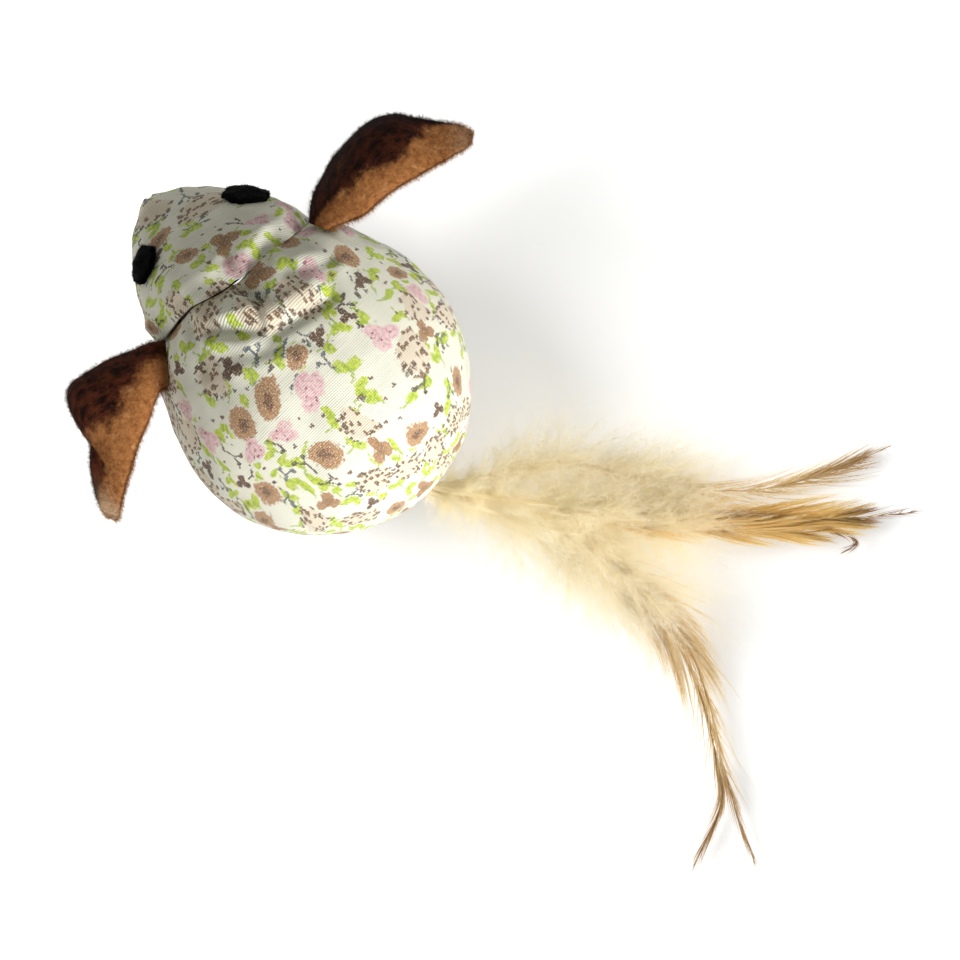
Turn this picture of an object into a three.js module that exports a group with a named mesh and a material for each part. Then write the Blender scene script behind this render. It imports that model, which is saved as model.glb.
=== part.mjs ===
// A stuffed catnip mouse for cats: a printed cotton ball with a pointed head, two felt ears,
// two felt eyes and a tail of five feathers.
// Millimetres, +Z up, nose towards -Y, tail towards +Y, the mouse's left side on +X.
// The origin is the middle of the flat patch under the belly, on the floor.
import * as THREE from 'three';

// Ball of the body, measured from its middle
const BALL_HALF_WIDTH = 30.4;
const BALL_RISE = 30.4;
const BALL_DROP = 28.5;
const BALL_REAR = 30.4;
const BALL_FRONT = 32.8;
const FLAT_DEPTH = 0.5;

// Neck seam, a leaning plane in front of the ball, and the snout sewn to it
const NECK_REACH = 26.2;
const NECK_YAW = 5.3;
const NECK_LEAN = 11;
const HEAD_SIDE_SHIFT = 0.8;
const HEAD_LENGTH = 25.4;
const NOSE_HEIGHT = 20;
const NOSE_SIDE = 0.5;
const SNOUT_SHARES = { power: 2, bluntness: 0.72 };

// Cloth, seams and what fills them
const CLOTH = 0.6;
const ALLOWANCE = 3;
const SEAM_GAP = 0.4;
const CLEARANCE = 0.3;
const STUFFING_GAP = 0.6;
const THREAD = 0.6;
const NECK_THREAD_PITCH = 1;
const NOSE_STUFFING_GAP = 5.4;

// Catnip in the middle of the stuffing, put in through the tail opening
const CATNIP_WIDTH = 22;
const CATNIP_LENGTH = 26;
const CATNIP_FORWARD = 4;
const CHANNEL_WIDTH = 5;

// Felt eyes, each a disc at its own place on the snout
const EYE_WIDTH = 8.6;
const EYE_THICKNESS = 1.4;
const EYE_PLACES = {
  eye_left: { forwardShare: 0.61, around: 54 },
  eye_right: { forwardShare: 0.51, around: 148 },
};

// Felt ears, each from a root on the neck seam out to its tip
const FELT = 1.4;
const EAR_REACH_LEFT = 28.6;
const EAR_REACH_RIGHT = 32.6;

// Where the two corners of each ear's root stand on the skin: behind the neck seam, and the
// angle around the tail axis
const EAR_ROOTS = {
  ear_left: { front: { behind: 0.6, around: 38 }, rear: { behind: 7.2, around: 34 } },
  ear_right: { front: { behind: 0.6, around: 150 }, rear: { behind: 3.4, around: 146 } },
};

// Tail opening, its whipped quills and the loop that ties them in
const TAIL_HEIGHT = 18.6;
const TAIL_OPENING = 9.6;
const TAIL_HEADING = 24;
const TAIL_DIP = 14;
const TAIL_LIFT = 40;
const PIVOT_DEPTH = 1;
const QUILL = 1.1;
const QUILL_SPACING = 1.41;
const WHIPPING_THREAD = 0.5;
const WHIPPING_TURNS = 4;
const WHIPPING_PITCH = 1.05;
const LOOP_OPEN_ANGLE = 40;
const POCKET_DEPTH = 5.4;

// Feathers
const TAIL_REACH = 100;
const BUTT_LENGTH = 2.8;
const QUILL_NECK_LENGTH = 4;
const FLUFF_WIDTH = 17;
const FLUFF_START = 9;
const FLUFF_FULL = 24;
const FLUFF_END = 54;
const FLUFF_FADE = 14;
const VANE_WIDTH = 5;
const VANE_THICKNESS = 0.9;
const TIP_WIDTH = 0.7;
const TAPER_LENGTH = 22;
const FLOOR_GAP = 0.4;

// Closing stitches beside the tail opening
const STITCH_THREAD = 0.5;
const STITCH_SPREAD = 1.6;
const STITCH_STEP = 2.2;
const STITCH_COUNT = 5;

// Ear outlines as shares of the reach, seen from the root: outwards, towards the tail, up.
// Each row has a point on the front edge, one on the rear edge, and the rise of the arch between.
const RIGHT_EAR_SHARES = [
  [[-0.02, -0.093, -0.064], [-0.03, -0.001, -0.003], 0.018],
  [[0.108, -0.172, -0.079], [0.086, 0.072, 0.043], 0.061],
  [[0.248, -0.227, -0.079], [0.161, 0.109, 0.074], 0.098],
  [[0.379, -0.256, -0.073], [0.236, 0.137, 0.099], 0.117],
  [[0.502, -0.267, -0.064], [0.335, 0.148, 0.117], 0.123],
  [[0.615, -0.261, -0.049], [0.431, 0.161, 0.129], 0.123],
  [[0.723, -0.224, -0.024], [0.527, 0.175, 0.142], 0.11],
  [[0.805, -0.168, 0.013], [0.618, 0.201, 0.151], 0.086],
  [[0.85, -0.067, 0.074], [0.709, 0.227, 0.16], 0.049],
  [[0.921, 0.048, 0.123], [0.801, 0.253, 0.166], 0.025],
  [[0.998, 0.156, 0.154], [0.888, 0.275, 0.172], 0.009],
  [[1.043, 0.245, 0.166], [0.963, 0.3, 0.172], 0.003],
];
const LEFT_EAR_SHARES = [
  [[-0.123, -0.148, -0.001], [0.098, 0.121, -0.001], 0.028],
  [[-0.017, -0.197, -0.008], [0.144, 0.076, 0.026], 0.063],
  [[0.086, -0.254, -0.036], [0.21, 0.098, 0.047], 0.098],
  [[0.198, -0.309, -0.05], [0.29, 0.133, 0.061], 0.119],
  [[0.319, -0.354, -0.057], [0.38, 0.178, 0.075], 0.133],
  [[0.439, -0.386, -0.05], [0.471, 0.222, 0.082], 0.133],
  [[0.553, -0.403, -0.036], [0.561, 0.266, 0.089], 0.119],
  [[0.628, -0.342, -0.008], [0.642, 0.309, 0.089], 0.091],
  [[0.671, -0.181, 0.04], [0.719, 0.347, 0.089], 0.049],
  [[0.706, -0.024, 0.068], [0.786, 0.384, 0.082], 0.028],
  [[0.831, 0.091, 0.068], [0.855, 0.421, 0.068], 0.021],
  [[0.928, 0.253, 0.061], [0.909, 0.453, 0.054], 0.01],
  [[1.001, 0.41, 0.047], [0.968, 0.491, 0.04], 0.003],
];

// Middle lines of the feathers as shares of the tail's reach: sideways and back from the
// tail opening, and height above the floor
const FEATHER_SHARES = {
  feather_1: [[-0.212, 0.19, 0.09], [-0.281, 0.3, 0.07], [-0.359, 0.402, 0.05], [-0.493, 0.506, 0.04],
    [-0.627, 0.581, 0.035], [-0.754, 0.643, 0.03]],
  feather_2: [[-0.17, 0.234, 0.07], [-0.244, 0.337, 0.06], [-0.341, 0.449, 0.05], [-0.441, 0.558, 0.045],
    [-0.57, 0.667, 0.04], [-0.692, 0.77, 0.03]],
  feather_3: [[-0.164, 0.235, 0.16], [-0.242, 0.364, 0.12], [-0.332, 0.483, 0.09], [-0.419, 0.574, 0.075],
    [-0.503, 0.655, 0.065], [-0.535, 0.734, 0.055]],
  feather_4: [[-0.092, 0.268, 0.07], [-0.132, 0.391, 0.06], [-0.156, 0.516, 0.05], [-0.144, 0.647, 0.045],
    [-0.082, 0.778, 0.04], [0.026, 0.88, 0.035], [0.158, 0.971, 0.03]],
  feather_5: [[-0.131, 0.283, 0.15], [-0.172, 0.404, 0.12], [-0.187, 0.533, 0.09], [-0.161, 0.676, 0.07],
    [-0.09, 0.814, 0.055], [0, 0.934, 0.04], [0.066, 1.04, 0.03]],
};

// Counts of facets
const PANEL_COLUMNS = 16;
const PANEL_ROWS = 14;
const SNOUT_ROWS = 9;
const EAR_COLUMNS = 8;
const FILLING_COLUMNS = 10;
const FILLING_ROWS = 11;
const CATNIP_RINGS = 9;
const EYE_SIDES = 16;
const LOOP_STEPS = 18;
const FEATHER_RINGS = 30;
const FEATHER_SIDES = 10;
const THREAD_SIDES = 6;
const SIDE_THREAD_RINGS = 20;

const UP = new THREE.Vector3(0, 0, 1);
const turn = THREE.MathUtils.degToRad;
const vec = (x, y, z) => new THREE.Vector3(x, y, z);
const along = (point, direction, distance) => point.clone().addScaledVector(direction, distance);
const mix = THREE.MathUtils.lerp;
const smooth = THREE.MathUtils.smoothstep;

// Gives each place one number, so that facets that meet share their corners
class Corners {
  constructor() {
    this.places = [];
    this.numbers = new Map();
  }

  add(point) {
    const key = point.toArray().map((value) => value.toFixed(4)).join();
    if (!this.numbers.has(key)) {
      this.numbers.set(key, this.places.length);
      this.places.push(point.clone());
    }
    return this.numbers.get(key);
  }
}

function triangle(list, a, b, c) {
  if (a !== b && b !== c && c !== a) {
    list.push([a, b, c]);
  }
}

// Turns corner places and facets into a geometry whose faces point outwards
function geometryOf(places, facets) {
  let volume = 0;
  for (const [a, b, c] of facets) {
    volume += places[a].dot(places[b].clone().cross(places[c]));
  }
  const ordered = volume > 0 ? facets : facets.map(([a, b, c]) => [a, c, b]);
  const geometry = new THREE.BufferGeometry();
  geometry.setAttribute('position', new THREE.Float32BufferAttribute(places.flatMap((p) => p.toArray()), 3));
  geometry.setIndex(ordered.flat());
  geometry.computeVertexNormals();
  return geometry;
}

// A closed body through rings of equally many points, each end drawn in to one point
function loftSolid(rings, startCap, endCap) {
  const corners = new Corners();
  const facets = [];
  const numbered = [[startCap], ...rings, [endCap]].map((ring) => ring.map((point) => corners.add(point)));
  const sides = rings[0].length;
  for (let row = 0; row + 1 < numbered.length; row += 1) {
    for (let side = 0; side < sides; side += 1) {
      const next = (side + 1) % sides;
      const at = (ring, index) => ring[index % ring.length];
      triangle(facets, at(numbered[row], side), at(numbered[row], next), at(numbered[row + 1], next));
      triangle(facets, at(numbered[row], side), at(numbered[row + 1], next), at(numbered[row + 1], side));
    }
  }
  return geometryOf(corners.places, facets);
}

// A sheet with two faces, from two grids of points. left out says which cells the sheet lacks.
function sheetSolid(outerRows, innerRows, leftOut = () => false) {
  const corners = new Corners();
  const inner = [];
  const facets = [];
  const numbered = outerRows.map((row, r) => row.map((point, c) => {
    const number = corners.add(point);
    inner[number] = inner[number] ?? innerRows[r][c];
    return number;
  }));
  for (let r = 0; r + 1 < numbered.length; r += 1) {
    for (let c = 0; c + 1 < numbered[r].length; c += 1) {
      if (!leftOut(r, c)) {
        triangle(facets, numbered[r][c], numbered[r][c + 1], numbered[r + 1][c + 1]);
        triangle(facets, numbered[r][c], numbered[r + 1][c + 1], numbered[r + 1][c]);
      }
    }
  }
  const places = [...corners.places, ...inner];
  const count = corners.places.length;
  const edges = new Set(facets.flatMap(([a, b, c]) => [`${a},${b}`, `${b},${c}`, `${c},${a}`]));
  const closed = facets.flatMap(([a, b, c]) => [[a, b, c], [a + count, c + count, b + count]]);
  for (const edge of edges) {
    const [from, to] = edge.split(',').map(Number);
    if (!edges.has(`${to},${from}`)) {
      closed.push([to, from, from + count], [to, from + count, to + count]);
    }
  }
  return geometryOf(places, closed);
}

// Frames of a curve whose side directions stay level
function levelFrames(points) {
  return points.map((point, index) => {
    const before = points[Math.max(index - 1, 0)];
    const after = points[Math.min(index + 1, points.length - 1)];
    const ahead = after.clone().sub(before).normalize();
    const side = ahead.clone().cross(UP).normalize();
    return { point, ahead, side, lift: side.clone().cross(ahead) };
  });
}

// Frames carried along a curve without twist
function carriedFrames(points) {
  const frames = [];
  let side = null;
  for (const { point, ahead } of levelFrames(points)) {
    const guess = side ?? (Math.abs(ahead.z) < 0.9 ? UP : vec(1, 0, 0)).clone().cross(ahead);
    side = guess.clone().addScaledVector(ahead, -guess.dot(ahead)).normalize();
    frames.push({ point, ahead, side, lift: side.clone().cross(ahead) });
  }
  return frames;
}

function sweepSolid(frames, halfWidths, halfHeights, sides) {
  const rings = frames.map(({ point, side, lift }, index) => {
    const ring = [];
    for (let k = 0; k < sides; k += 1) {
      const angle = (k / sides) * 2 * Math.PI;
      const edge = along(point, side, halfWidths[index] * Math.cos(angle));
      ring.push(along(edge, lift, halfHeights[index] * Math.sin(angle)));
    }
    return ring;
  });
  return loftSolid(rings, frames[0].point, frames.at(-1).point);
}

function threadSolid(points, diameter) {
  const radii = points.map(() => diameter / 2);
  return sweepSolid(carriedFrames(points), radii, radii, THREAD_SIDES);
}

// The ball's skin. The side seams lie in a plane from the sides of the neck down to the tail.
// A place on the skin is given by its angle from the tail axis, which lies in that plane, and its
// angle around that axis, from 0 on the mouse's left, over the back at 90, to 180 on its right.
const MIDDLE = vec(0, 0, BALL_DROP - FLAT_DEPTH);
const TAIL_DROP = MIDDLE.z - TAIL_HEIGHT;
const TAIL_BACK = BALL_REAR * Math.sqrt(1 - (TAIL_DROP / BALL_DROP) ** 2);
const SEAM_SLOPE = TAIL_DROP / (TAIL_BACK + NECK_REACH);
const HUB = along(MIDDLE, vec(0, 0, -1), NECK_REACH * SEAM_SLOPE);
const TAIL_AXIS = vec(0, 1, -SEAM_SLOPE).normalize();
const LEFT = vec(1, 0, 0);
const SEAM_NORMAL = LEFT.clone().cross(TAIL_AXIS);

// Distance from the hub to the skin, found by halving
function skinDistance(direction) {
  let low = 0;
  let high = 2 * BALL_FRONT;
  while (high - low > 1e-6) {
    const middle = (low + high) / 2;
    const { x, y, z } = along(HUB, direction, middle).sub(MIDDLE);
    const share = Math.hypot(x / BALL_HALF_WIDTH, y / (y > 0 ? BALL_REAR : BALL_FRONT), z / (z > 0 ? BALL_RISE : BALL_DROP));
    if (share < 1) {
      low = middle;
    } else {
      high = middle;
    }
  }
  return low;
}

// The head and neck sit a little to the mouse's right of the ball's middle
function bend(point) {
  return along(point, LEFT, -HEAD_SIDE_SHIFT * smooth(-point.y, 0, NECK_REACH));
}

function ballPoint(polar, around, depth = 0) {
  const direction = TAIL_AXIS.clone().multiplyScalar(Math.cos(polar));
  direction.addScaledVector(LEFT, Math.sin(polar) * Math.cos(around));
  direction.addScaledVector(SEAM_NORMAL, Math.sin(polar) * Math.sin(around));
  const radius = skinDistance(direction) - depth;
  const floor = direction.z < 0 ? (HUB.z - depth) / -direction.z : radius;
  return bend(along(HUB, direction, Math.min(radius, floor)));
}

const NECK_NORMAL = vec(-Math.tan(turn(NECK_YAW)), -1, Math.tan(turn(NECK_LEAN))).normalize();
const NECK_PLACE = bend(vec(0, -NECK_REACH, MIDDLE.z));
const OPENING_ANGLE = Math.asin(TAIL_OPENING / 2 / BALL_REAR);

// The angle from the tail axis at which the skin meets the neck plane, moved back by a distance
function neckAngle(around, back, depth = 0) {
  let low = Math.PI / 2;
  let high = Math.PI;
  while (high - low > 1e-7) {
    const middle = (low + high) / 2;
    const ahead = ballPoint(middle, around, depth).sub(NECK_PLACE).dot(NECK_NORMAL);
    if (ahead < -back) {
      low = middle;
    } else {
      high = middle;
    }
  }
  return low;
}

const neckPoint = (around, back = 0, depth = 0) => ballPoint(neckAngle(around, back, depth), around, depth);
const NECK_CENTRE = neckPoint(0).add(neckPoint(Math.PI)).multiplyScalar(0.5);
const NOSE = vec(NECK_CENTRE.x + NOSE_SIDE, -NECK_REACH - HEAD_LENGTH, NOSE_HEIGHT);
const SNOUT_AXIS = NOSE.clone().sub(NECK_CENTRE);
const SNOUT_REACH = SNOUT_AXIS.dot(NECK_NORMAL);

// The snout's skin: the neck's outline drawn in towards the nose. forward is 0 at the neck, 1 at the nose.
const snoutCentre = (forward) => along(NECK_CENTRE, SNOUT_AXIS, forward);
const snoutScale = (forward) => (1 - forward ** SNOUT_SHARES.power) ** SNOUT_SHARES.bluntness;

function snoutPoint(forward, around) {
  const spoke = neckPoint(around).sub(NECK_CENTRE);
  return along(snoutCentre(forward), spoke, snoutScale(forward));
}

function snoutNormal(forward, around) {
  const step = 1e-3;
  const behind = snoutPoint(Math.max(forward - step, 0), around);
  const ahead = snoutPoint(Math.min(forward + step, 1 - step), around);
  const turned = snoutPoint(forward, around + step).sub(snoutPoint(forward, around - step));
  return turned.cross(ahead.sub(behind)).normalize();
}

// Moves a skin point in by a depth. Near the neck it stays level with its ring.
function snoutInset(forward, around, depth) {
  if (forward === 1) {
    return along(NOSE, SNOUT_AXIS.clone().normalize(), -depth);
  }
  const point = along(snoutPoint(forward, around), snoutNormal(forward, around), -depth);
  const behind = forward - point.clone().sub(NECK_CENTRE).dot(NECK_NORMAL) / SNOUT_REACH;
  return along(point, SNOUT_AXIS, behind * (1 - forward) ** 2);
}

const towards = (from, to, distance) => along(from, to.clone().sub(from).normalize(), distance);
const heightOver = (point, centre, normal) => point.clone().sub(centre).dot(normal);
const atHeight = (point, centre, normal, height) => along(point, normal, height - heightOver(point, centre, normal));

// A cover panel from one side seam over the back or belly to the other, with its edges folded in.
// rows run from the tail or nose end; the last one lies along the neck seam.
function panelSolid(rows, upper, shape) {
  const away = shape.seamNormal.clone().multiplyScalar(upper ? 1 : -1);
  const outer = [];
  const inner = [];
  for (const row of rows) {
    const outerRow = [];
    const innerRow = [];
    for (let column = 0; column <= PANEL_COLUMNS; column += 1) {
      const around = (column / PANEL_COLUMNS) * Math.PI * (upper ? 1 : -1);
      const atSeam = column === 0 || column === PANEL_COLUMNS || shape.atPole(row);
      const centre = shape.centre(row);
      const skin = shape.at(row, around, 0);
      const point = atSeam ? atHeight(skin, centre, away, SEAM_GAP / 2) : skin;
      const lining = shape.inside(row, around);
      const least = SEAM_GAP / 2 + CLOTH * (1 + (atSeam ? 0 : Math.abs(Math.sin(around))));
      const height = atSeam ? least : Math.max(least, heightOver(lining, centre, away));
      const inside = atHeight(lining, centre, away, height);
      const tip = along(shape.fold(row, around), away, SEAM_GAP / 2);
      const fold = shape.atPole(row) ? [point, inside] : [tip, along(tip, away, CLOTH)];
      const columns = [[point, inside]];
      if (column === 0) {
        columns.unshift(fold);
      } else if (column === PANEL_COLUMNS) {
        columns.push(fold);
      }
      outerRow.push(...columns.map(([first]) => first));
      innerRow.push(...columns.map(([, second]) => second));
    }
    outer.push(outerRow);
    inner.push(innerRow);
  }
  const neckRow = outer.length - 1;
  const last = PANEL_COLUMNS + 2;
  outer.push(outer[neckRow].map((point, c) => {
    const trimmed = c === 1 || c === last - 1 ? along(point, away, CLOTH) : point;
    return towards(trimmed, along(NECK_CENTRE, NECK_NORMAL, trimmed.clone().sub(NECK_CENTRE).dot(NECK_NORMAL)),
      ALLOWANCE);
  }));
  inner.push(outer[neckRow + 1].map((point) => along(point, NECK_NORMAL, shape.neckSide * CLOTH)));
  const clipped = (r) => r === neckRow || (r <= 1 && shape.atPole(rows[0]));
  return sheetSolid(outer, inner, (r, c) => clipped(r) && (c === 0 || c === last - 1));
}

// Fold depth of the ball's side seams: shallow at the tail opening, full past it
function ballFoldDepth(polar) {
  return mix(CLOTH + SEAM_GAP, ALLOWANCE, smooth(polar, OPENING_ANGLE, 2.5 * OPENING_ANGLE));
}

const bodyShape = {
  seamNormal: SEAM_NORMAL,
  neckSide: -1,
  atPole: () => false,
  centre: () => HUB,
  inside: (share, around) => (share === 1
    ? neckPoint(around, SEAM_GAP / 2 + CLOTH, CLOTH)
    : ballPoint(bodyShape.polar(share, around), around, CLOTH)),
  polar: (share, around) => mix(OPENING_ANGLE, neckAngle(around, SEAM_GAP / 2), share),
  at: (share, around, depth) => ballPoint(bodyShape.polar(share, around), around, depth),
  fold: (share, around) => {
    const polar = bodyShape.polar(share, around);
    const trim = share === 1 ? CLOTH / BALL_FRONT : 0;
    return ballPoint(polar - 2 * trim, around, ballFoldDepth(polar));
  },
};

const halfWidthAt = (forward) => snoutScale(forward) * neckPoint(0).distanceTo(NECK_CENTRE);
const snoutFoldDepth = (forward) => Math.min(ALLOWANCE, Math.max(CLOTH + SEAM_GAP, 0.3 * halfWidthAt(forward)));
const SNOUT_START = SEAM_GAP / 2 / SNOUT_REACH;

const headShape = {
  seamNormal: UP,
  neckSide: 1,
  atPole: (forward) => forward === 1,
  centre: (forward) => snoutCentre(forward),
  inside: (forward, around) => snoutInset(forward === SNOUT_START ? forward + CLOTH / SNOUT_REACH : forward,
    around, CLOTH),
  at: (forward, around, depth) => snoutInset(forward, around, depth),
  fold: (forward, around) => {
    const trim = forward === SNOUT_START ? (3 * CLOTH) / SNOUT_REACH : 0;
    return towards(snoutPoint(forward + trim, around), snoutCentre(forward + trim), snoutFoldDepth(forward));
  },
};

const bodyRows = Array.from({ length: PANEL_ROWS + 1 }, (_, row) => row / PANEL_ROWS);
const NOSE_CAP_SHARE = 0.78;
const snoutRows = Array.from({ length: SNOUT_ROWS + 1 }, (_, row) => {
  const share = Math.sin((row / (SNOUT_ROWS - 1)) * NOSE_CAP_SHARE * (Math.PI / 2));
  return row === SNOUT_ROWS ? 1 : mix(SNOUT_START, 1, share);
}).reverse();

const materials = {
  printed_cotton: { color: 0xe9e4d6, roughness: 0.9, metalness: 0 },
  fibre_fill: { color: 0xf4f3ee, roughness: 1, metalness: 0 },
  dried_herb: { color: 0x7d8450, roughness: 1, metalness: 0 },
  brown_felt: { color: 0x7a4a2c, roughness: 1, metalness: 0 },
  black_felt: { color: 0x111010, roughness: 1, metalness: 0 },
  pale_feather: { color: 0xd9c29a, roughness: 0.8, metalness: 0 },
  golden_feather: { color: 0xb98a45, roughness: 0.8, metalness: 0 },
  sewing_thread: { color: 0xe8e2d2, roughness: 0.8, metalness: 0 },
};

const mouse = new THREE.Group();
mouse.name = 'catnip_mouse';

function addPiece(name, geometry, material) {
  const mesh = new THREE.Mesh(geometry, new THREE.MeshStandardMaterial(materials[material]));
  mesh.name = name;
  mouse.add(mesh);
}

// Cotton cover
addPiece('back_panel', panelSolid(bodyRows, true, bodyShape), 'printed_cotton');
addPiece('belly_panel', panelSolid(bodyRows, false, bodyShape), 'printed_cotton');
addPiece('head_panel', panelSolid(snoutRows, true, headShape), 'printed_cotton');
addPiece('chin_panel', panelSolid(snoutRows, false, headShape), 'printed_cotton');

// Stuffing of the ball. Each ring runs round the back and the belly, with a slot at each side for
// the folded seam edges.
const LINING = CLOTH + STUFFING_GAP;
const SLOT_HALF = SEAM_GAP / 2 + CLOTH + CLEARANCE;
const HEAD_LINING = LINING + CLEARANCE;
const THREAD_ROOM = THREAD + 3 * CLEARANCE;

function slottedRing(surfaceAt, slotAt) {
  const half = (side) => {
    const inSlot = (point) => atHeight(point, HUB, SEAM_NORMAL, side * SLOT_HALF);
    const points = Array.from({ length: FILLING_COLUMNS + 1 }, (_, column) => (
      surfaceAt((column / FILLING_COLUMNS) * Math.PI * side)));
    points[0] = inSlot(points[0]);
    points[FILLING_COLUMNS] = inSlot(points[FILLING_COLUMNS]);
    return [inSlot(slotAt(0)), ...points, inSlot(slotAt(Math.PI))];
  };
  return [...half(1), ...half(-1).reverse()];
}

const POLE_DISTANCE = skinDistance(TAIL_AXIS);
const MOUTH_RADIUS = TAIL_OPENING / 2 + CLEARANCE;
const MOUTH_ANGLE = Math.asin(MOUTH_RADIUS / (POLE_DISTANCE - LINING));
const CATNIP_MIDDLE = -CATNIP_FORWARD;

// A ring about the tail axis, at a distance from the hub
function axisRing(distance, radius) {
  const seamAngle = Math.asin(Math.min(SLOT_HALF / radius, Math.sin(Math.PI / FILLING_COLUMNS / 2)));
  const place = (angle) => {
    const point = along(HUB, TAIL_AXIS, distance);
    point.addScaledVector(LEFT, radius * Math.cos(angle));
    return bend(point.addScaledVector(SEAM_NORMAL, radius * Math.sin(angle)));
  };
  const half = Array.from({ length: FILLING_COLUMNS + 1 }, (_, column) => {
    const angle = (column / FILLING_COLUMNS) * Math.PI;
    return Math.min(Math.max(angle, seamAngle), Math.PI - seamAngle);
  });
  const angles = [half[0], ...half, half.at(-1)];
  return [...angles.map(place), ...angles.map((angle) => place(-angle)).reverse()];
}

function catnipRings(spare) {
  const rings = [];
  for (let step = 1; step < CATNIP_RINGS; step += 1) {
    const angle = (step / CATNIP_RINGS) * Math.PI;
    const distance = CATNIP_MIDDLE + (CATNIP_LENGTH / 2 + spare) * Math.cos(angle);
    rings.push({ distance, radius: (CATNIP_WIDTH / 2 + spare) * Math.sin(angle) });
  }
  return rings;
}

function bodyFilling() {
  const rings = [];
  for (let row = 0; row <= FILLING_ROWS; row += 1) {
    const polar = (around) => mix(neckAngle(around, SLOT_HALF, LINING), MOUTH_ANGLE, row / FILLING_ROWS);
    rings.push(slottedRing(
      (around) => ballPoint(polar(around), around, LINING),
      (around) => {
        const angle = polar(around) + CLEARANCE / POLE_DISTANCE;
        const room = smooth(angle, MOUTH_ANGLE, 2.5 * OPENING_ANGLE) * THREAD_ROOM;
        return ballPoint(angle, around, LINING + ballFoldDepth(angle) - CLOTH + room);
      },
    ));
  }
  const pocketEnd = POLE_DISTANCE - POCKET_DEPTH;
  rings.push(axisRing(pocketEnd, MOUTH_RADIUS), axisRing(pocketEnd, CHANNEL_WIDTH / 2));
  const hollow = catnipRings(CLEARANCE).filter(({ radius, distance }) => (
    radius > CHANNEL_WIDTH / 2 || distance < CATNIP_MIDDLE));
  hollow.forEach(({ distance, radius }) => rings.push(axisRing(distance, radius)));
  const front = along(NECK_CENTRE, NECK_NORMAL, -SLOT_HALF);
  const hollowEnd = along(HUB, TAIL_AXIS, CATNIP_MIDDLE - CATNIP_LENGTH / 2 - CLEARANCE);
  return loftSolid(rings, front, bend(hollowEnd));
}

function catnip() {
  const rings = catnipRings(0).map(({ distance, radius }) => axisRing(distance, radius));
  const end = (sign) => bend(along(HUB, TAIL_AXIS, CATNIP_MIDDLE + (sign * CATNIP_LENGTH) / 2));
  return loftSolid(rings, end(1), end(-1));
}

// The head's stuffing has a groove at each side for the folded seam edges, and a plug behind it
// that goes through the neck
function neckRing(forward, inset, around) {
  const spoke = neckPoint(around).sub(NECK_CENTRE);
  const point = along(NECK_CENTRE, NECK_NORMAL, forward);
  return along(point, spoke.clone().normalize(), spoke.length() - inset);
}

function headFilling() {
  const columns = 2 * FILLING_COLUMNS;
  const ringOf = (surfaceAt) => Array.from({ length: columns }, (_, column) => (
    surfaceAt((column / columns) * 2 * Math.PI, column % FILLING_COLUMNS === 0)));
  const plugEnd = -(SEAM_GAP / 2 + CLOTH);
  const plugInset = ALLOWANCE + THREAD_ROOM + 3 * CLEARANCE;
  const plug = (forward) => ringOf((around) => neckRing(forward, plugInset, around));
  const rings = [plug(plugEnd), plug(SLOT_HALF)];
  const first = SLOT_HALF / SNOUT_REACH;
  const last = 1 - NOSE_STUFFING_GAP / SNOUT_AXIS.length();
  for (let row = 0; row < SNOUT_ROWS; row += 1) {
    const forward = mix(first, last, row / (SNOUT_ROWS - 1));
    const groove = snoutFoldDepth(forward) + THREAD_ROOM;
    rings.push(ringOf((around, atSeam) => (atSeam
      ? towards(snoutPoint(forward, around), snoutCentre(forward), groove)
      : snoutInset(forward, around, HEAD_LINING))));
  }
  return loftSolid(rings, along(NECK_CENTRE, NECK_NORMAL, plugEnd), snoutCentre(last));
}

addPiece('body_filling', bodyFilling(), 'fibre_fill');
addPiece('head_filling', headFilling(), 'fibre_fill');
addPiece('catnip', catnip(), 'dried_herb');

// Sewing thread, each seam's laid along the raw edges of its folds
const THREAD_DEPTH = THREAD_ROOM / 2;
const NOSE_THREAD_DEPTH = 2 * (CLOTH + SEAM_GAP) + THREAD_DEPTH;

function smoothed(points, count) {
  return new THREE.CatmullRomCurve3(points, false, 'centripetal').getSpacedPoints(count);
}

function sideThread(around) {
  const start = 3 * OPENING_ANGLE;
  const end = neckAngle(around, ALLOWANCE);
  return smoothed(Array.from({ length: SIDE_THREAD_RINGS + 1 }, (_, step) => {
    const polar = mix(start, end, step / SIDE_THREAD_RINGS);
    return ballPoint(polar, around, ballFoldDepth(polar) + THREAD_DEPTH);
  }), SIDE_THREAD_RINGS);
}

function noseThread() {
  const backShare = 0.14;
  const turnShare = 0.86;
  const steps = SIDE_THREAD_RINGS / 2;
  const side = (around) => Array.from({ length: steps + 1 }, (_, step) => {
    const forward = mix(backShare, turnShare, step / steps);
    return towards(snoutPoint(forward, around), snoutCentre(forward), snoutFoldDepth(forward) + THREAD_DEPTH);
  });
  const tip = snoutInset(1, 0, NOSE_THREAD_DEPTH);
  return smoothed([...side(0), tip, ...side(Math.PI).reverse()], 2 * SIDE_THREAD_RINGS);
}

function neckThread() {
  const turns = 1.1;
  const steps = 2 * SIDE_THREAD_RINGS;
  return Array.from({ length: steps + 1 }, (_, step) => {
    const share = step / steps;
    const forward = NECK_THREAD_PITCH * turns * (share - 0.5);
    return neckRing(forward, ALLOWANCE + THREAD_DEPTH, (share * turns + 0.1) * 2 * Math.PI);
  });
}

addPiece('neck_seam_thread', threadSolid(neckThread(), THREAD), 'sewing_thread');
addPiece('left_seam_thread', threadSolid(sideThread(0), THREAD), 'sewing_thread');
addPiece('right_seam_thread', threadSolid(sideThread(Math.PI), THREAD), 'sewing_thread');
addPiece('nose_seam_thread', threadSolid(noseThread(), THREAD), 'sewing_thread');

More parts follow.
